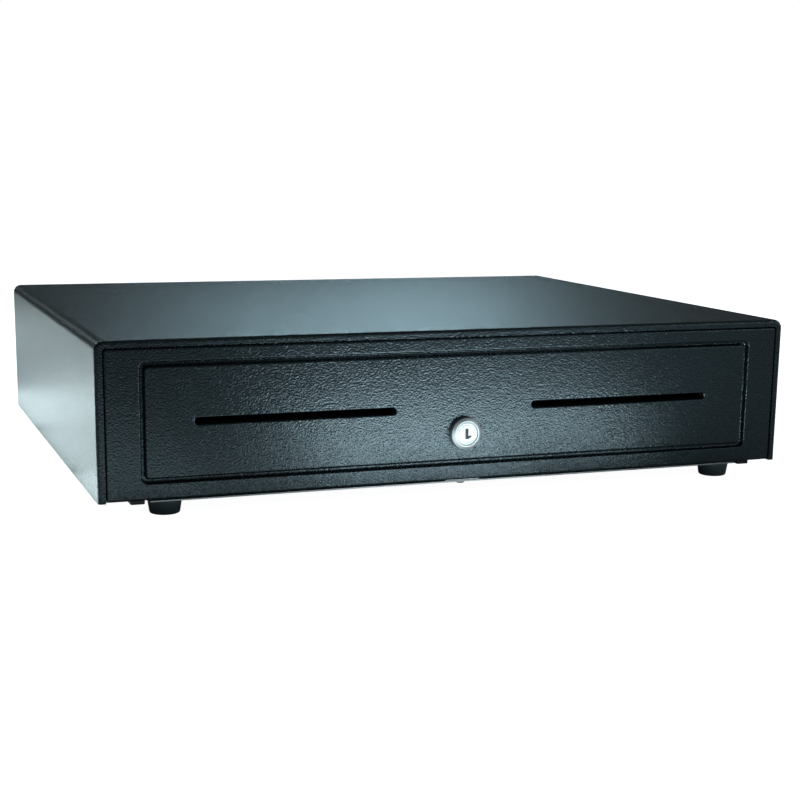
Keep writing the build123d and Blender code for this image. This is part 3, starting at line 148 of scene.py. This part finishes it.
def make_lights():
    """Soft boxes round and behind the object, and glowing cards on the floor beside it."""
    for name, place, target, width, height, watts, colour in SOFTBOXES:
        add_panel(name, place, target, width, height, watts, colour)
    for number, (x, z, width, height, watts) in enumerate(REAR_BOXES):
        place = (x, REAR_Y, z)
        add_panel(f"rear_{number}", place, REAR_TARGET, width, height, watts, SKY_LIGHT)
    for number, (x, y, width, depth, watts) in enumerate(FLOOR_CARDS):
        above = (x, y, 1.0)
        add_panel(f"card_{number}", (x, y, CARD_Z), above, width, depth, watts, COOL_LIGHT)


def make_room():
    """World that is white behind the object and a dim cool grey as a source of light."""
    world = bpy.data.worlds.new("room")
    world.use_nodes = True
    tree = world.node_tree
    tree.nodes.clear()
    seen = tree.nodes.new("ShaderNodeBackground")
    seen.inputs["Color"].default_value = (*WHITE, 1.0)
    ambient = tree.nodes.new("ShaderNodeBackground")
    ambient.name = "ambient"
    ambient.inputs["Color"].default_value = (*COOL_LIGHT, 1.0)
    ambient.inputs["Strength"].default_value = AMBIENT
    path = tree.nodes.new("ShaderNodeLightPath")
    mix = tree.nodes.new("ShaderNodeMixShader")
    output = tree.nodes.new("ShaderNodeOutputWorld")
    tree.links.new(path.outputs["Is Camera Ray"], mix.inputs["Fac"])
    tree.links.new(ambient.outputs["Background"], mix.inputs[1])
    tree.links.new(seen.outputs["Background"], mix.inputs[2])
    tree.links.new(mix.outputs["Shader"], output.inputs["Surface"])
    bpy.context.scene.world = world


# ---- procedural materials --------------------------------------------------------------
WAVE_PERIOD = 0.314  # distance between the rings of a wave texture whose scale is 1
PAINT_SHEEN = (0.74, 0.90, 1.0, 1.0)
PAINT_DARK = (0.0032, 0.0050, 0.0064)
PAINT_LIGHT = (0.0078, 0.0115, 0.0142)


class Finish:
    """Principled material textured in the object's own space, where one unit is a metre."""

    def __init__(self, name, **uniform):
        self.material = bpy.data.materials.new(name)
        self.material.use_nodes = True
        self.tree = self.material.node_tree
        self.shader = self.tree.nodes["Principled BSDF"]
        for socket, value in uniform.items():
            self.shader.inputs[socket.replace("_", " ")].default_value = value
        self.space = self.tree.nodes.new("ShaderNodeTexCoord").outputs["Object"]

    def link(self, output, node_input):
        self.tree.links.new(output, node_input)

    def stretched(self, scale):
        """Object space scaled, for grain that runs one way."""
        mapping = self.tree.nodes.new("ShaderNodeMapping")
        mapping.inputs["Scale"].default_value = scale
        self.link(self.space, mapping.inputs["Vector"])
        return mapping.outputs["Vector"]

    def noise(self, size, detail=2.0, roughness=0.5, distortion=0.0, space=None):
        """Noise whose blobs are about size metres across."""
        node = self.tree.nodes.new("ShaderNodeTexNoise")
        node.inputs["Scale"].default_value = 1 / size
        node.inputs["Detail"].default_value = detail
        node.inputs["Roughness"].default_value = roughness
        node.inputs["Distortion"].default_value = distortion
        self.link(space or self.space, node.inputs["Vector"])
        return node.outputs["Fac"]

    def cells(self, size, feature="SMOOTH_F1", output="Distance"):
        """Cell pattern whose cells are about size metres across."""
        node = self.tree.nodes.new("ShaderNodeTexVoronoi")
        node.feature = feature
        node.inputs["Scale"].default_value = 1 / size
        self.link(self.space, node.inputs["Vector"])
        return node.outputs[output]

    def rings(self, size, distortion):
        """Rings about the object's own Y axis, size metres apart."""
        node = self.tree.nodes.new("ShaderNodeTexWave")
        node.wave_type = "RINGS"
        node.rings_direction = "Y"
        node.inputs["Scale"].default_value = WAVE_PERIOD / size
        node.inputs["Distortion"].default_value = distortion
        self.link(self.space, node.inputs["Vector"])
        return node.outputs["Fac"]

    def level(self, value, low, high, from_low=0.3, from_high=0.7):
        """Value moved into the range from low to high."""
        node = self.tree.nodes.new("ShaderNodeMapRange")
        node.inputs["From Min"].default_value = from_low
        node.inputs["From Max"].default_value = from_high
        node.inputs["To Min"].default_value = low
        node.inputs["To Max"].default_value = high
        self.link(value, node.inputs["Value"])
        return node.outputs["Result"]

    def blend(self, first, second, share):
        """Weighted sum of two patterns, in which share is the second one's weight."""
        node = self.tree.nodes.new("ShaderNodeMix")
        node.inputs["Factor"].default_value = share
        self.link(first, node.inputs["A"])
        self.link(second, node.inputs["B"])
        return node.outputs["Result"]

    def colour(self, value, dark, light):
        """Base colour between two colours."""
        node = self.tree.nodes.new("ShaderNodeMix")
        node.data_type = "RGBA"
        node.inputs["A"].default_value = (*dark, 1.0)
        node.inputs["B"].default_value = (*light, 1.0)
        self.link(self.level(value, 0.0, 1.0), node.inputs["Factor"])
        self.link(node.outputs["Result"], self.shader.inputs["Base Color"])

    def roughness(self, value, low, high):
        """Roughness between low and high."""
        self.link(self.level(value, low, high), self.shader.inputs["Roughness"])

    def bump(self, height, depth):
        """Relief, depth metres deep."""
        node = self.tree.nodes.new("ShaderNodeBump")
        node.inputs["Strength"].default_value = 1.0
        node.inputs["Distance"].default_value = depth
        self.link(height, node.inputs["Height"])
        self.link(node.outputs["Normal"], self.shader.inputs["Normal"])


def textured_paint(name, grain, depth, gloss):
    """Black powder coat with a leather-like grain; gloss is its roughness, low to high."""
    paint = Finish(name, IOR=1.5, Specular_IOR_Level=0.8, Specular_Tint=PAINT_SHEEN)
    wrinkles = paint.noise(grain, detail=0.8, roughness=0.4, distortion=0.3)
    pebbles = paint.cells(grain * 1.1)
    relief = paint.blend(wrinkles, pebbles, 0.2)
    paint.colour(relief, PAINT_DARK, PAINT_LIGHT)
    paint.roughness(relief, *gloss)
    paint.bump(relief, depth)
    return paint.material


def galvanised_sheet():
    """Zinc-coated sheet with a faint spangle."""
    zinc = Finish("galvanised", Metallic=1.0)
    spangle = zinc.cells(9 * MM, feature="F1", output="Color")
    grey = zinc.tree.nodes.new("ShaderNodeRGBToBW")
    zinc.link(spangle, grey.inputs["Color"])
    rolled = zinc.noise(1.5 * MM, detail=3, space=zinc.stretched((1.0, 0.06, 1.0)))
    pattern = zinc.blend(grey.outputs["Val"], rolled, 0.45)
    zinc.colour(pattern, (0.42, 0.44, 0.46), (0.60, 0.62, 0.64))
    zinc.roughness(pattern, 0.30, 0.48)
    zinc.bump(rolled, 0.02 * MM)
    return zinc.material


def zinc_plate():
    """Bright zinc plating over drawn or turned steel."""
    plate = Finish("zinc_steel", Metallic=1.0)
    cloudy = plate.noise(4 * MM, detail=4)
    drawn = plate.noise(0.5 * MM, detail=2, space=plate.stretched((1.0, 0.05, 1.0)))
    plate.colour(cloudy, (0.50, 0.51, 0.52), (0.66, 0.66, 0.65))
    plate.roughness(plate.blend(cloudy, drawn, 0.5), 0.22, 0.38)
    plate.bump(drawn, 0.015 * MM)
    return plate.material


def black_zinc():
    """Black passivated screw."""
    black = Finish("black_fastener", Metallic=0.85)
    cloudy = black.noise(1.2 * MM, detail=3)
    black.colour(cloudy, (0.018, 0.019, 0.021), (0.040, 0.041, 0.044))
    black.roughness(cloudy, 0.30, 0.46)
    black.bump(black.noise(0.3 * MM), 0.015 * MM)
    return black.material


def turned_chrome():
    """Satin nickel plate over turned brass: fine rings about the lock's axis."""
    chrome = Finish("bright_chrome", Metallic=1.0)
    turning = chrome.rings(0.22 * MM, distortion=0.8)
    dust = chrome.noise(2.5 * MM, detail=4)
    chrome.colour(chrome.blend(turning, dust, 0.5), (0.42, 0.43, 0.45), (0.55, 0.56, 0.58))
    chrome.roughness(chrome.blend(turning, dust, 0.6), 0.40, 0.55)
    chrome.bump(turning, 0.006 * MM)
    return chrome.material


def polished_steel():
    """Ground and polished ball."""
    steel = Finish("ball_steel", Metallic=1.0)
    film = steel.noise(1.0 * MM, detail=3)
    steel.colour(film, (0.72, 0.72, 0.73), (0.84, 0.84, 0.85))
    steel.roughness(film, 0.06, 0.16)
    steel.bump(film, 0.002 * MM)
    return steel.material


def moulded(name, dark, light, gloss, depth=0.02 * MM, **uniform):
    """Moulded plastic or rubber with a fine matt skin; gloss is its roughness, low to high."""
    plastic = Finish(name, **uniform)
    skin = plastic.noise(0.35 * MM, detail=2)
    flow = plastic.noise(25 * MM, detail=2)
    plastic.colour(plastic.blend(skin, flow, 0.5), dark, light)
    plastic.roughness(plastic.blend(skin, flow, 0.4), *gloss)
    plastic.bump(skin, depth)
    return plastic.material


def drawn_wire():
    """Spring wire with fine drawing marks."""
    wire = Finish("spring_steel", Metallic=1.0)
    marks = wire.noise(0.2 * MM, detail=3)
    wire.colour(marks, (0.34, 0.34, 0.36), (0.55, 0.55, 0.56))
    wire.roughness(marks, 0.24, 0.42)
    wire.bump(marks, 0.006 * MM)
    return wire.material


def enamelled_wire():
    """Varnished copper winding."""
    copper = Finish("winding", Metallic=0.7, Coat_Weight=0.5, Coat_Roughness=0.12)
    varnish = copper.noise(1.5 * MM, detail=3)
    copper.colour(varnish, (0.30, 0.085, 0.030), (0.48, 0.16, 0.055))
    copper.roughness(varnish, 0.28, 0.42)
    copper.bump(copper.noise(0.4 * MM), 0.02 * MM)
    return copper.material


def gold_plate():
    """Gold-plated contact wire."""
    gold = Finish("contact_gold", Metallic=1.0)
    film = gold.noise(0.6 * MM, detail=3)
    gold.colour(film, (0.75, 0.50, 0.16), (0.90, 0.66, 0.28))
    gold.roughness(film, 0.16, 0.30)
    return gold.material


def pale_floor():
    """Smooth pale paper that glows where the camera sees it, like an overexposed backdrop."""
    paper = Finish("pale_paper", Specular_IOR_Level=0.2, Emission_Color=(*WHITE, 1.0))
    fibres = paper.noise(0.4, detail=3)
    paper.colour(fibres, (0.80, 0.80, 0.80), (0.84, 0.84, 0.84))
    paper.roughness(fibres, 0.70, 0.80)
    path = paper.tree.nodes.new("ShaderNodeLightPath")
    glow = paper.level(path.outputs["Is Camera Ray"], 0.0, FLOOR_GLOW, 0.0, 1.0)
    paper.link(glow, paper.shader.inputs["Emission Strength"])
    return paper.material


FINISHES = {
    "cover_paint": textured_paint("cover_paint", 1.0 * MM, 0.48 * MM, (0.27, 0.19)),
    "front_paint": textured_paint("front_paint", 1.05 * MM, 0.36 * MM, (0.29, 0.21)),
    "galvanised": galvanised_sheet(),
    "zinc_steel": zinc_plate(),
    "black_fastener": black_zinc(),
    "bright_chrome": turned_chrome(),
    "ball_steel": polished_steel(),
    "black_rubber": moulded(
        "black_rubber", (0.040, 0.056, 0.066), (0.062, 0.085, 0.098), (0.32, 0.46),
        depth=0.04 * MM, Specular_IOR_Level=0.8,
    ),
    "till_plastic": moulded(
        "till_plastic", (0.016, 0.017, 0.018), (0.028, 0.029, 0.031), (0.42, 0.58),
    ),
    "cup_plastic": moulded(
        "cup_plastic", (0.030, 0.031, 0.033), (0.046, 0.047, 0.050), (0.40, 0.55),
    ),
    "black_plastic": moulded(
        "black_plastic", (0.012, 0.012, 0.013), (0.022, 0.022, 0.024), (0.34, 0.48),
    ),
    "nylon": moulded(
        "nylon", (0.010, 0.010, 0.011), (0.020, 0.020, 0.022), (0.30, 0.45), Coat_Weight=0.1,
    ),
    "spring_steel": drawn_wire(),
    "winding": enamelled_wire(),
}


# ---- shapes ----------------------------------------------------------------------------
MERGE_DISTANCE = 0.002 * MM
WELD_DISTANCE = 0.001 * MM
BEVEL_ANGLE = math.radians(40)


def rounded(corners, steps=5):
    """Closed outline of (x, y, radius) corners, in which each corner with a radius is an arc."""
    outline = []
    for index, (x, y, radius) in enumerate(corners):
        here = Vector((x, y))
        before = (Vector(corners[index - 1][:2]) - here).normalized()
        after = (Vector(corners[(index + 1) % len(corners)][:2]) - here).normalized()
        if radius == 0:
            outline.append(here)
            continue
        half = before.angle(after) / 2
        centre = here + (before + after).normalized() * (radius / math.sin(half))
        start = here + before * (radius / math.tan(half)) - centre
        end = here + after * (radius / math.tan(half)) - centre
        turn = start.angle(end)
        for step in range(steps + 1):
            share = step / steps
            first = math.sin((1 - share) * turn) / math.sin(turn)
            second = math.sin(share * turn) / math.sin(turn)
            outline.append(centre + start * first + end * second)
    return outline


def finish_mesh(name, bm, centre, finish, crease=32.0):
    """Object from a bmesh with points relative to centre; edges over crease degrees are sharp."""
    bmesh.ops.remove_doubles(bm, verts=bm.verts, dist=MERGE_DISTANCE)
    bmesh.ops.recalc_face_normals(bm, faces=bm.faces)
    mesh = bpy.data.meshes.new(name)
    bm.to_mesh(mesh)
    bm.free()
    mesh.shade_smooth()
    mesh.set_sharp_from_angle(angle=math.radians(crease))
    mesh.materials.append(finish)
    piece = bpy.data.objects.new(name, mesh)
    piece.location = centre
    bpy.context.scene.collection.objects.link(piece)
    return piece


def add_turned(bm, outline, axis, offset=(0, 0, 0), segments=64):
    """Adds a solid of revolution: outline holds (radius, distance along the axis) points."""
    rings = []
    for number in range(segments):
        angle = math.tau * number / segments
        ring = []
        for radius, along in outline:
            across_a = radius * math.cos(angle)
            across_b = radius * math.sin(angle)
            place = {
                "X": (along, across_a, across_b),
                "Y": (across_a, along, across_b),
                "Z": (across_a, across_b, along),
            }[axis]
            ring.append(bm.verts.new(Vector(place) + Vector(offset)))
        rings.append(ring)
    count = len(outline)
    for number in range(segments):
        here = rings[number]
        there = rings[(number + 1) % segments]
        for index in range(count):
            following = (index + 1) % count
            bm.faces.new([here[index], here[following], there[following], there[index]])


def add_swept(bm, sections):
    """Adds a capped tube through a list of sections, each a list of points."""
    rings = [[bm.verts.new(point) for point in section] for section in sections]
    count = len(rings[0])
    for here, there in zip(rings, rings[1:]):
        for index in range(count):
            following = (index + 1) % count
            bm.faces.new([here[index], here[following], there[following], there[index]])
    bm.faces.new(rings[0])
    bm.faces.new(list(reversed(rings[-1])))


def add_prism(bm, outline, front, back):
    """Adds a prism: an outline of (x, z) points drawn out along Y from front to back."""
    add_swept(bm, [[(x, y, z) for x, z in outline] for y in (front, back)])


def soften(piece, width):
    """Rounds a piece's sharp edges by modifiers, which leave its own mesh alone."""
    weld = piece.modifiers.new("weld", "WELD")
    weld.merge_threshold = WELD_DISTANCE
    bevel = piece.modifiers.new("edges", "BEVEL")
    bevel.width = width
    bevel.segments = 2
    bevel.limit_method = "ANGLE"
    bevel.angle_limit = BEVEL_ANGLE
    bevel.harden_normals = True


# ---- detailed pieces, most of them in place of a CAD node ------------------------------
def make_lock_bezel():
    """Turned bezel with a bevelled rim, a chamfer round the plug and a threaded barrel."""
    low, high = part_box("lock_body")
    centre = Vector(((low.x + high.x) / 2, low.y, (low.z + high.z) / 2))
    rim_r = (high.x - low.x) / 2
    bore_r = 7.47 * MM
    bore_chamfer = 0.35 * MM
    barrel_r = 9.35 * MM
    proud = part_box("drawer_front")[0].y - low.y
    length = high.y - low.y
    bevel_w = 2.1 * MM
    bevel_d = 1.0 * MM
    pitch = 1.0 * MM
    thread_d = 0.4 * MM
    corners = [
        (bore_r, bore_chamfer, 0.1 * MM),
        (bore_r + bore_chamfer, 0.0, 0.12 * MM),
        (rim_r - bevel_w, 0.0, 0.3 * MM),
        (rim_r - 0.05 * MM, bevel_d, 0.3 * MM),
        (rim_r, proud, 0.15 * MM),
        (barrel_r, proud + 0.02 * MM, 0),
    ]
    turns = int((length - proud - 2 * pitch) / pitch)
    for number in range(turns):
        start = proud + (number + 1) * pitch
        corners.append((barrel_r, start, 0))
        corners.append((barrel_r - thread_d, start + pitch / 2, 0))
    corners.append((barrel_r, proud + (turns + 1) * pitch, 0))
    corners.append((barrel_r, length, 0.3 * MM))
    corners.append((bore_r, length, 0.1 * MM))
    bm = bmesh.new()
    add_turned(bm, rounded(corners), "Y", segments=128)
    bezel = finish_mesh("lock_bezel", bm, centre, FINISHES["bright_chrome"])
    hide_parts("lock_body")
    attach(bezel, "drawer")


def keyway_outline():
    """Key slot seen from the front: an upright slot with a hook to the right at its foot."""
    half_w = 1.15 * MM
    half_h = 3.5 * MM
    tip_x = 2.9 * MM
    tip_z = -1.6 * MM
    return rounded([
        (-half_w, half_h, 0.6 * MM),
        (-half_w, -half_h, 0.6 * MM),
        (half_w * 1.1, -half_h, 0.5 * MM),
        (tip_x + 0.55 * MM, tip_z - 0.25 * MM, 0.4 * MM),
        (tip_x - 0.25 * MM, tip_z + 0.65 * MM, 0.4 * MM),
        (half_w, -half_h + 2.0 * MM, 0.2 * MM),
        (half_w, half_h, 0.6 * MM),
    ])


def make_lock_plug():
    """Turned plug: grooved face, key slot, squared tail that carries the cam, and washer."""
    low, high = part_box("lock_plug")
    plug_r = (high.x - low.x) / 2
    centre = Vector((0.0, low.y, (low.z + high.z) / 2))
    length = high.y - low.y
    tail_l = 6.1 * MM
    tail_half = 4.0 * MM
    tail_edge = 0.5 * MM
    body_l = length - tail_l
    slot_d = 12.0 * MM
    washer_r = 6.0 * MM
    washer_t = 1.6 * MM
    washer_front = length - washer_t
    groove_r = plug_r - 1.5 * MM
    groove_d = 0.28 * MM
    mouth_half = 0.35 * MM
    floor_half = 0.2 * MM
    face = rounded([
        (0.0, 0.12 * MM, 0),
        (groove_r - mouth_half, 0.0, 0.1 * MM),
        (groove_r - floor_half, groove_d, 0.08 * MM),
        (groove_r + floor_half, groove_d, 0.08 * MM),
        (groove_r + mouth_half, 0.0, 0.1 * MM),
        (plug_r, 0.0, 0.35 * MM),
        (plug_r, body_l, 0.2 * MM),
        (0.0, body_l, 0),
    ])
    bm = bmesh.new()
    add_turned(bm, face, "Y", segments=128)
    plug = finish_mesh("lock_plug_turned", bm, centre, FINISHES["bright_chrome"])
    bm = bmesh.new()
    add_prism(bm, keyway_outline(), -1.0 * MM, slot_d)
    cutter = finish_mesh("keyway_cutter", bm, centre, FINISHES["bright_chrome"])
    cut = plug.modifiers.new("keyway", "BOOLEAN")
    cut.operation = "DIFFERENCE"
    cut.solver = "EXACT"
    cut.object = cutter
    bpy.context.view_layer.update()
    evaluated = plug.evaluated_get(bpy.context.evaluated_depsgraph_get())
    bm = bmesh.new()
    bm.from_mesh(bpy.data.meshes.new_from_object(evaluated))
    tail = rounded([
        (tail_half, tail_half, tail_edge), (-tail_half, tail_half, tail_edge),
        (-tail_half, -tail_half, tail_edge), (tail_half, -tail_half, tail_edge),
    ])
    add_prism(bm, tail, body_l - 0.01 * MM, washer_front)
    washer = rounded([
        (0.0, washer_front, 0), (washer_r, washer_front, 0.2 * MM),
        (washer_r, length, 0.4 * MM), (0.0, length, 0),
    ])
    add_turned(bm, washer, "Y", segments=48)
    bpy.data.objects.remove(cutter)
    bpy.data.objects.remove(plug)
    plug = finish_mesh("lock_plug_turned", bm, centre, FINISHES["bright_chrome"])
    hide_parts("lock_plug")
    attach(plug, "lock")
    make_tumblers(centre)


def make_tumblers(centre):
    """Stack of dark wafers that fills the key slot from just behind its mouth."""
    bm = bmesh.new()
    wafers = 9
    wafer_t = 0.8 * MM
    gap = 0.15 * MM
    mouth = 0.6 * MM
    fit_w, fit_h = 0.985, 0.99
    inset = 0.80
    outline = [(x * fit_w, z * fit_h) for x, z in keyway_outline()]
    for number in range(wafers):
        front = mouth + number * (wafer_t + gap)
        width = inset if number % 2 else 1.0
        add_prism(bm, [(x * width, z) for x, z in outline], front, front + wafer_t)
    tumblers = finish_mesh("lock_tumblers", bm, centre, FINISHES["black_fastener"])
    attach(tumblers, "lock")


def make_feet():
    """Moulded feet with a rounded sole, a tapered side and the recess of the screw."""
    low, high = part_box("rubber_feet")
    top_r = 10.7 * MM
    bottom_r = 9.4 * MM
    recess_r = 4.6 * MM
    recess_d = 4.0 * MM
    screw_r = 1.6 * MM
    height = high.z - low.z
    outline = rounded([
        (recess_r, 0.0, 0.4 * MM),
        (bottom_r, 0.0, 1.3 * MM),
        (top_r - 0.05 * MM, height - 1.0 * MM, 0.4 * MM),
        (top_r, height, 0.25 * MM),
        (screw_r, height, 0),
        (screw_r, recess_d, 0),
        (recess_r, recess_d, 0.4 * MM),
    ])
    bm = bmesh.new()
    for x in (low.x + top_r, high.x - top_r):
        for y in (low.y + top_r, high.y - top_r):
            add_turned(bm, outline, "Z", offset=(x, y, 0), segments=72)
    feet = finish_mesh("feet_moulded", bm, (0, 0, low.z), FINISHES["black_rubber"])
    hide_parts("rubber_feet")
    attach(feet, "cabinet")


# strips of a note clip's arm, in mm: x from, x to, height above and depth below its middle
CLIP_STRIPS = [
    (-12.0, 12.0, 0.9, 1.3),
    (-12.0, -10.2, 2.1, 1.3),
    (10.2, 12.0, 2.1, 1.3),
    (-1.0, 1.0, 1.9, 1.3),
]
CLIP_END_HEIGHT = 0.9
CLIP_BOW = 1.2
CLIP_WAIST = 0.18
CLIP_FADE = 6
CLIP_STEPS = 16


def add_clip_strip(bm, strip, along, up, start, reach):
    """Adds a strip of a clip's arm, which bows, has a waist, and is low at both its ends."""
    x0, x1, rise, drop = strip
    sections = []
    for step in range(CLIP_STEPS + 1):
        share = step / CLIP_STEPS
        middle = along * (start + (reach - start) * share)
        bow = up * (CLIP_BOW * MM * math.sin(math.pi * share))
        fade = min(1.0, CLIP_FADE * share, CLIP_FADE * (1 - share))
        top = up * (CLIP_END_HEIGHT + (rise - CLIP_END_HEIGHT) * fade) * MM
        under = up * (-drop * MM)
        narrow = 1 - CLIP_WAIST * math.sin(math.pi * share)
        corners = [
            (x0 * narrow * MM, under), (x1 * narrow * MM, under),
            (x1 * narrow * MM, top), (x0 * narrow * MM, top),
        ]
        sections.append([Vector((x, 0, 0)) + middle + bow + shift for x, shift in corners])
    add_swept(bm, sections)


def make_note_clips():
    """Moulded note clips: hub on the rod, ribbed arm that bows a little, rounded foot."""
    rod_low, rod_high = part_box("clip_rod")
    rod = Vector((0.0, (rod_low.y + rod_high.y) / 2, (rod_low.z + rod_high.z) / 2))
    foot = Vector((0.0, -68.0 * MM, -44.0 * MM))
    along = foot.normalized()
    up = Vector((0.0, -along.z, along.y))
    if up.z < 0:
        up = -up
    hole_r, hub_r, hub_half = 2.6 * MM, 5.0 * MM, 15 * MM
    hub = rounded([
        (hole_r, -hub_half, 0.3 * MM), (hub_r, -hub_half, 0.8 * MM),
        (hub_r, hub_half, 0.8 * MM), (hole_r, hub_half, 0.3 * MM),
    ])
    roll_r, roll_half, roll_edge = 4.0 * MM, 24 * MM, 1.6 * MM
    roll = rounded([
        (0.0, -roll_half, 0), (roll_r, -roll_half, roll_edge),
        (roll_r, roll_half, roll_edge), (0.0, roll_half, 0),
    ], steps=8)
    start = 4.2 * MM
    for number in range(1, 6):
        low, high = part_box(f"note_clip_{number}")
        centre = Vector(((low.x + high.x) / 2, rod.y, rod.z))
        bm = bmesh.new()
        add_turned(bm, hub, "X", segments=48)
        add_turned(bm, roll, "X", offset=foot, segments=48)
        for strip in CLIP_STRIPS:
            add_clip_strip(bm, strip, along, up, start, foot.length)
        clip = finish_mesh(f"note_clip_{number}_moulded", bm, centre, FINISHES["black_plastic"])
        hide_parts(f"note_clip_{number}")
        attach(clip, f"note_clip_{number}")


def make_winding():
    """Bobbin with rounded flanges and rows of wire in place of the plain coil."""
    low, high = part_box("solenoid_coil")
    centre = (low + high) / 2
    half = (high.x - low.x) / 2
    flange_r = (high.z - low.z) / 2
    flange_t = 1.2 * MM
    flange_edge = 0.4 * MM
    bore_r = 4.12 * MM
    wound_r = flange_r - 1.0 * MM
    core_r = wound_r - 1.5 * MM
    inner_r = wound_r - 1.4 * MM
    bobbin = rounded([
        (bore_r, -half, 0.2 * MM), (flange_r, -half, flange_edge),
        (flange_r, flange_t - half, flange_edge), (core_r, flange_t - half, 0),
        (core_r, half - flange_t, 0), (flange_r, half - flange_t, flange_edge),
        (flange_r, half, flange_edge), (bore_r, half, 0.2 * MM),
    ])
    bm = bmesh.new()
    add_turned(bm, bobbin, "X", segments=96)
    spool = finish_mesh("solenoid_bobbin", bm, centre, FINISHES["black_plastic"])
    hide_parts("solenoid_coil")
    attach(spool, "cabinet")
    wires = 44
    steps = 6
    pitch = (2 * half - 2 * flange_t) / wires
    bumps = []
    for number in range(wires):
        start = flange_t - half + number * pitch
        for step in range(steps):
            swell = math.sin(math.pi * step / steps)
            bumps.append((wound_r - pitch / 2 + swell * pitch / 2, start + pitch * step / steps))
    bumps.append((wound_r - pitch / 2, half - flange_t))
    bumps.append((inner_r, half - flange_t))
    bumps.append((inner_r, flange_t - half))
    bm = bmesh.new()
    add_turned(bm, bumps, "X", segments=96)
    wire = finish_mesh("solenoid_winding", bm, centre, FINISHES["winding"], crease=60)
    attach(wire, "cabinet")


def make_socket_contacts():
    """Six sprung contact wires that slope through the modular socket's mouth."""
    low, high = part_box("interface_socket")
    middle = (low + high) / 2
    pitch = 1.27 * MM
    wire_r = 0.23 * MM
    sides = 8
    front = high.y - 2.0 * MM
    rear = high.y - 11.0 * MM
    path = [
        (rear, -4.2 * MM), (rear + 1.0 * MM, -4.2 * MM), (front - 1.2 * MM, -2.6 * MM),
        (front, -2.9 * MM), (front, -4.3 * MM),
    ]
    bm = bmesh.new()
    for number in range(6):
        x = (number - 2.5) * pitch
        sections = []
        for y, z in path:
            ring = []
            for side in range(sides):
                angle = math.tau * side / sides
                across = wire_r * math.cos(angle)
                rise = wire_r * math.sin(angle)
                ring.append((x + across, y + rise * 0.5 - middle.y, z + rise))
            sections.append(ring)
        add_swept(bm, sections)
    contacts = finish_mesh("socket_contacts", bm, middle, gold_plate())
    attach(contacts, "cabinet")


# ---- the CAD nodes that stay -----------------------------------------------------------
# width of the rounding of a node's edges, in mm
SOFT_EDGES = {
    "till": 0.5,
    "drawer_box": 0.25,
    "latch_bracket": 0.3,
    "stop_brackets": 0.3,
    "base_pan": 0.2,
    "rear_panel": 0.25,
    "interface_socket": 0.3,
    "status_switch": 0.25,
    "ejector_housing": 0.5,
    "solenoid_frame": 0.3,
    "latch_lever": 0.25,
    "lock_cam": 0.25,
    "striker": 0.25,
    "lock_strike": 0.25,
}


def dress_nodes():
    """Gives every CAD node the finish of its slot, and softens the edges that show."""
    for subpart in frame["record"]["subparts"]:
        node = frame["nodes"][subpart["node"]]
        for place in node.material_slots:
            place.material = FINISHES[subpart["material_slot"]]
    for name, width in SOFT_EDGES.items():
        soften(frame["nodes"][name], width * MM)


def make_floor():
    """Wide pale floor under the object."""
    bm = bmesh.new()
    bmesh.ops.create_circle(bm, cap_ends=True, segments=96, radius=FLOOR_RADIUS)
    floor = finish_mesh("floor", bm, (0, 0, CAD_BOX[0].z), pale_floor())


bpy.context.scene.view_settings.view_transform = "Standard"
make_camera()
make_lights()
make_room()
make_floor()
dress_nodes()
make_lock_bezel()
make_lock_plug()
make_feet()
make_note_clips()
make_winding()
make_socket_contacts()
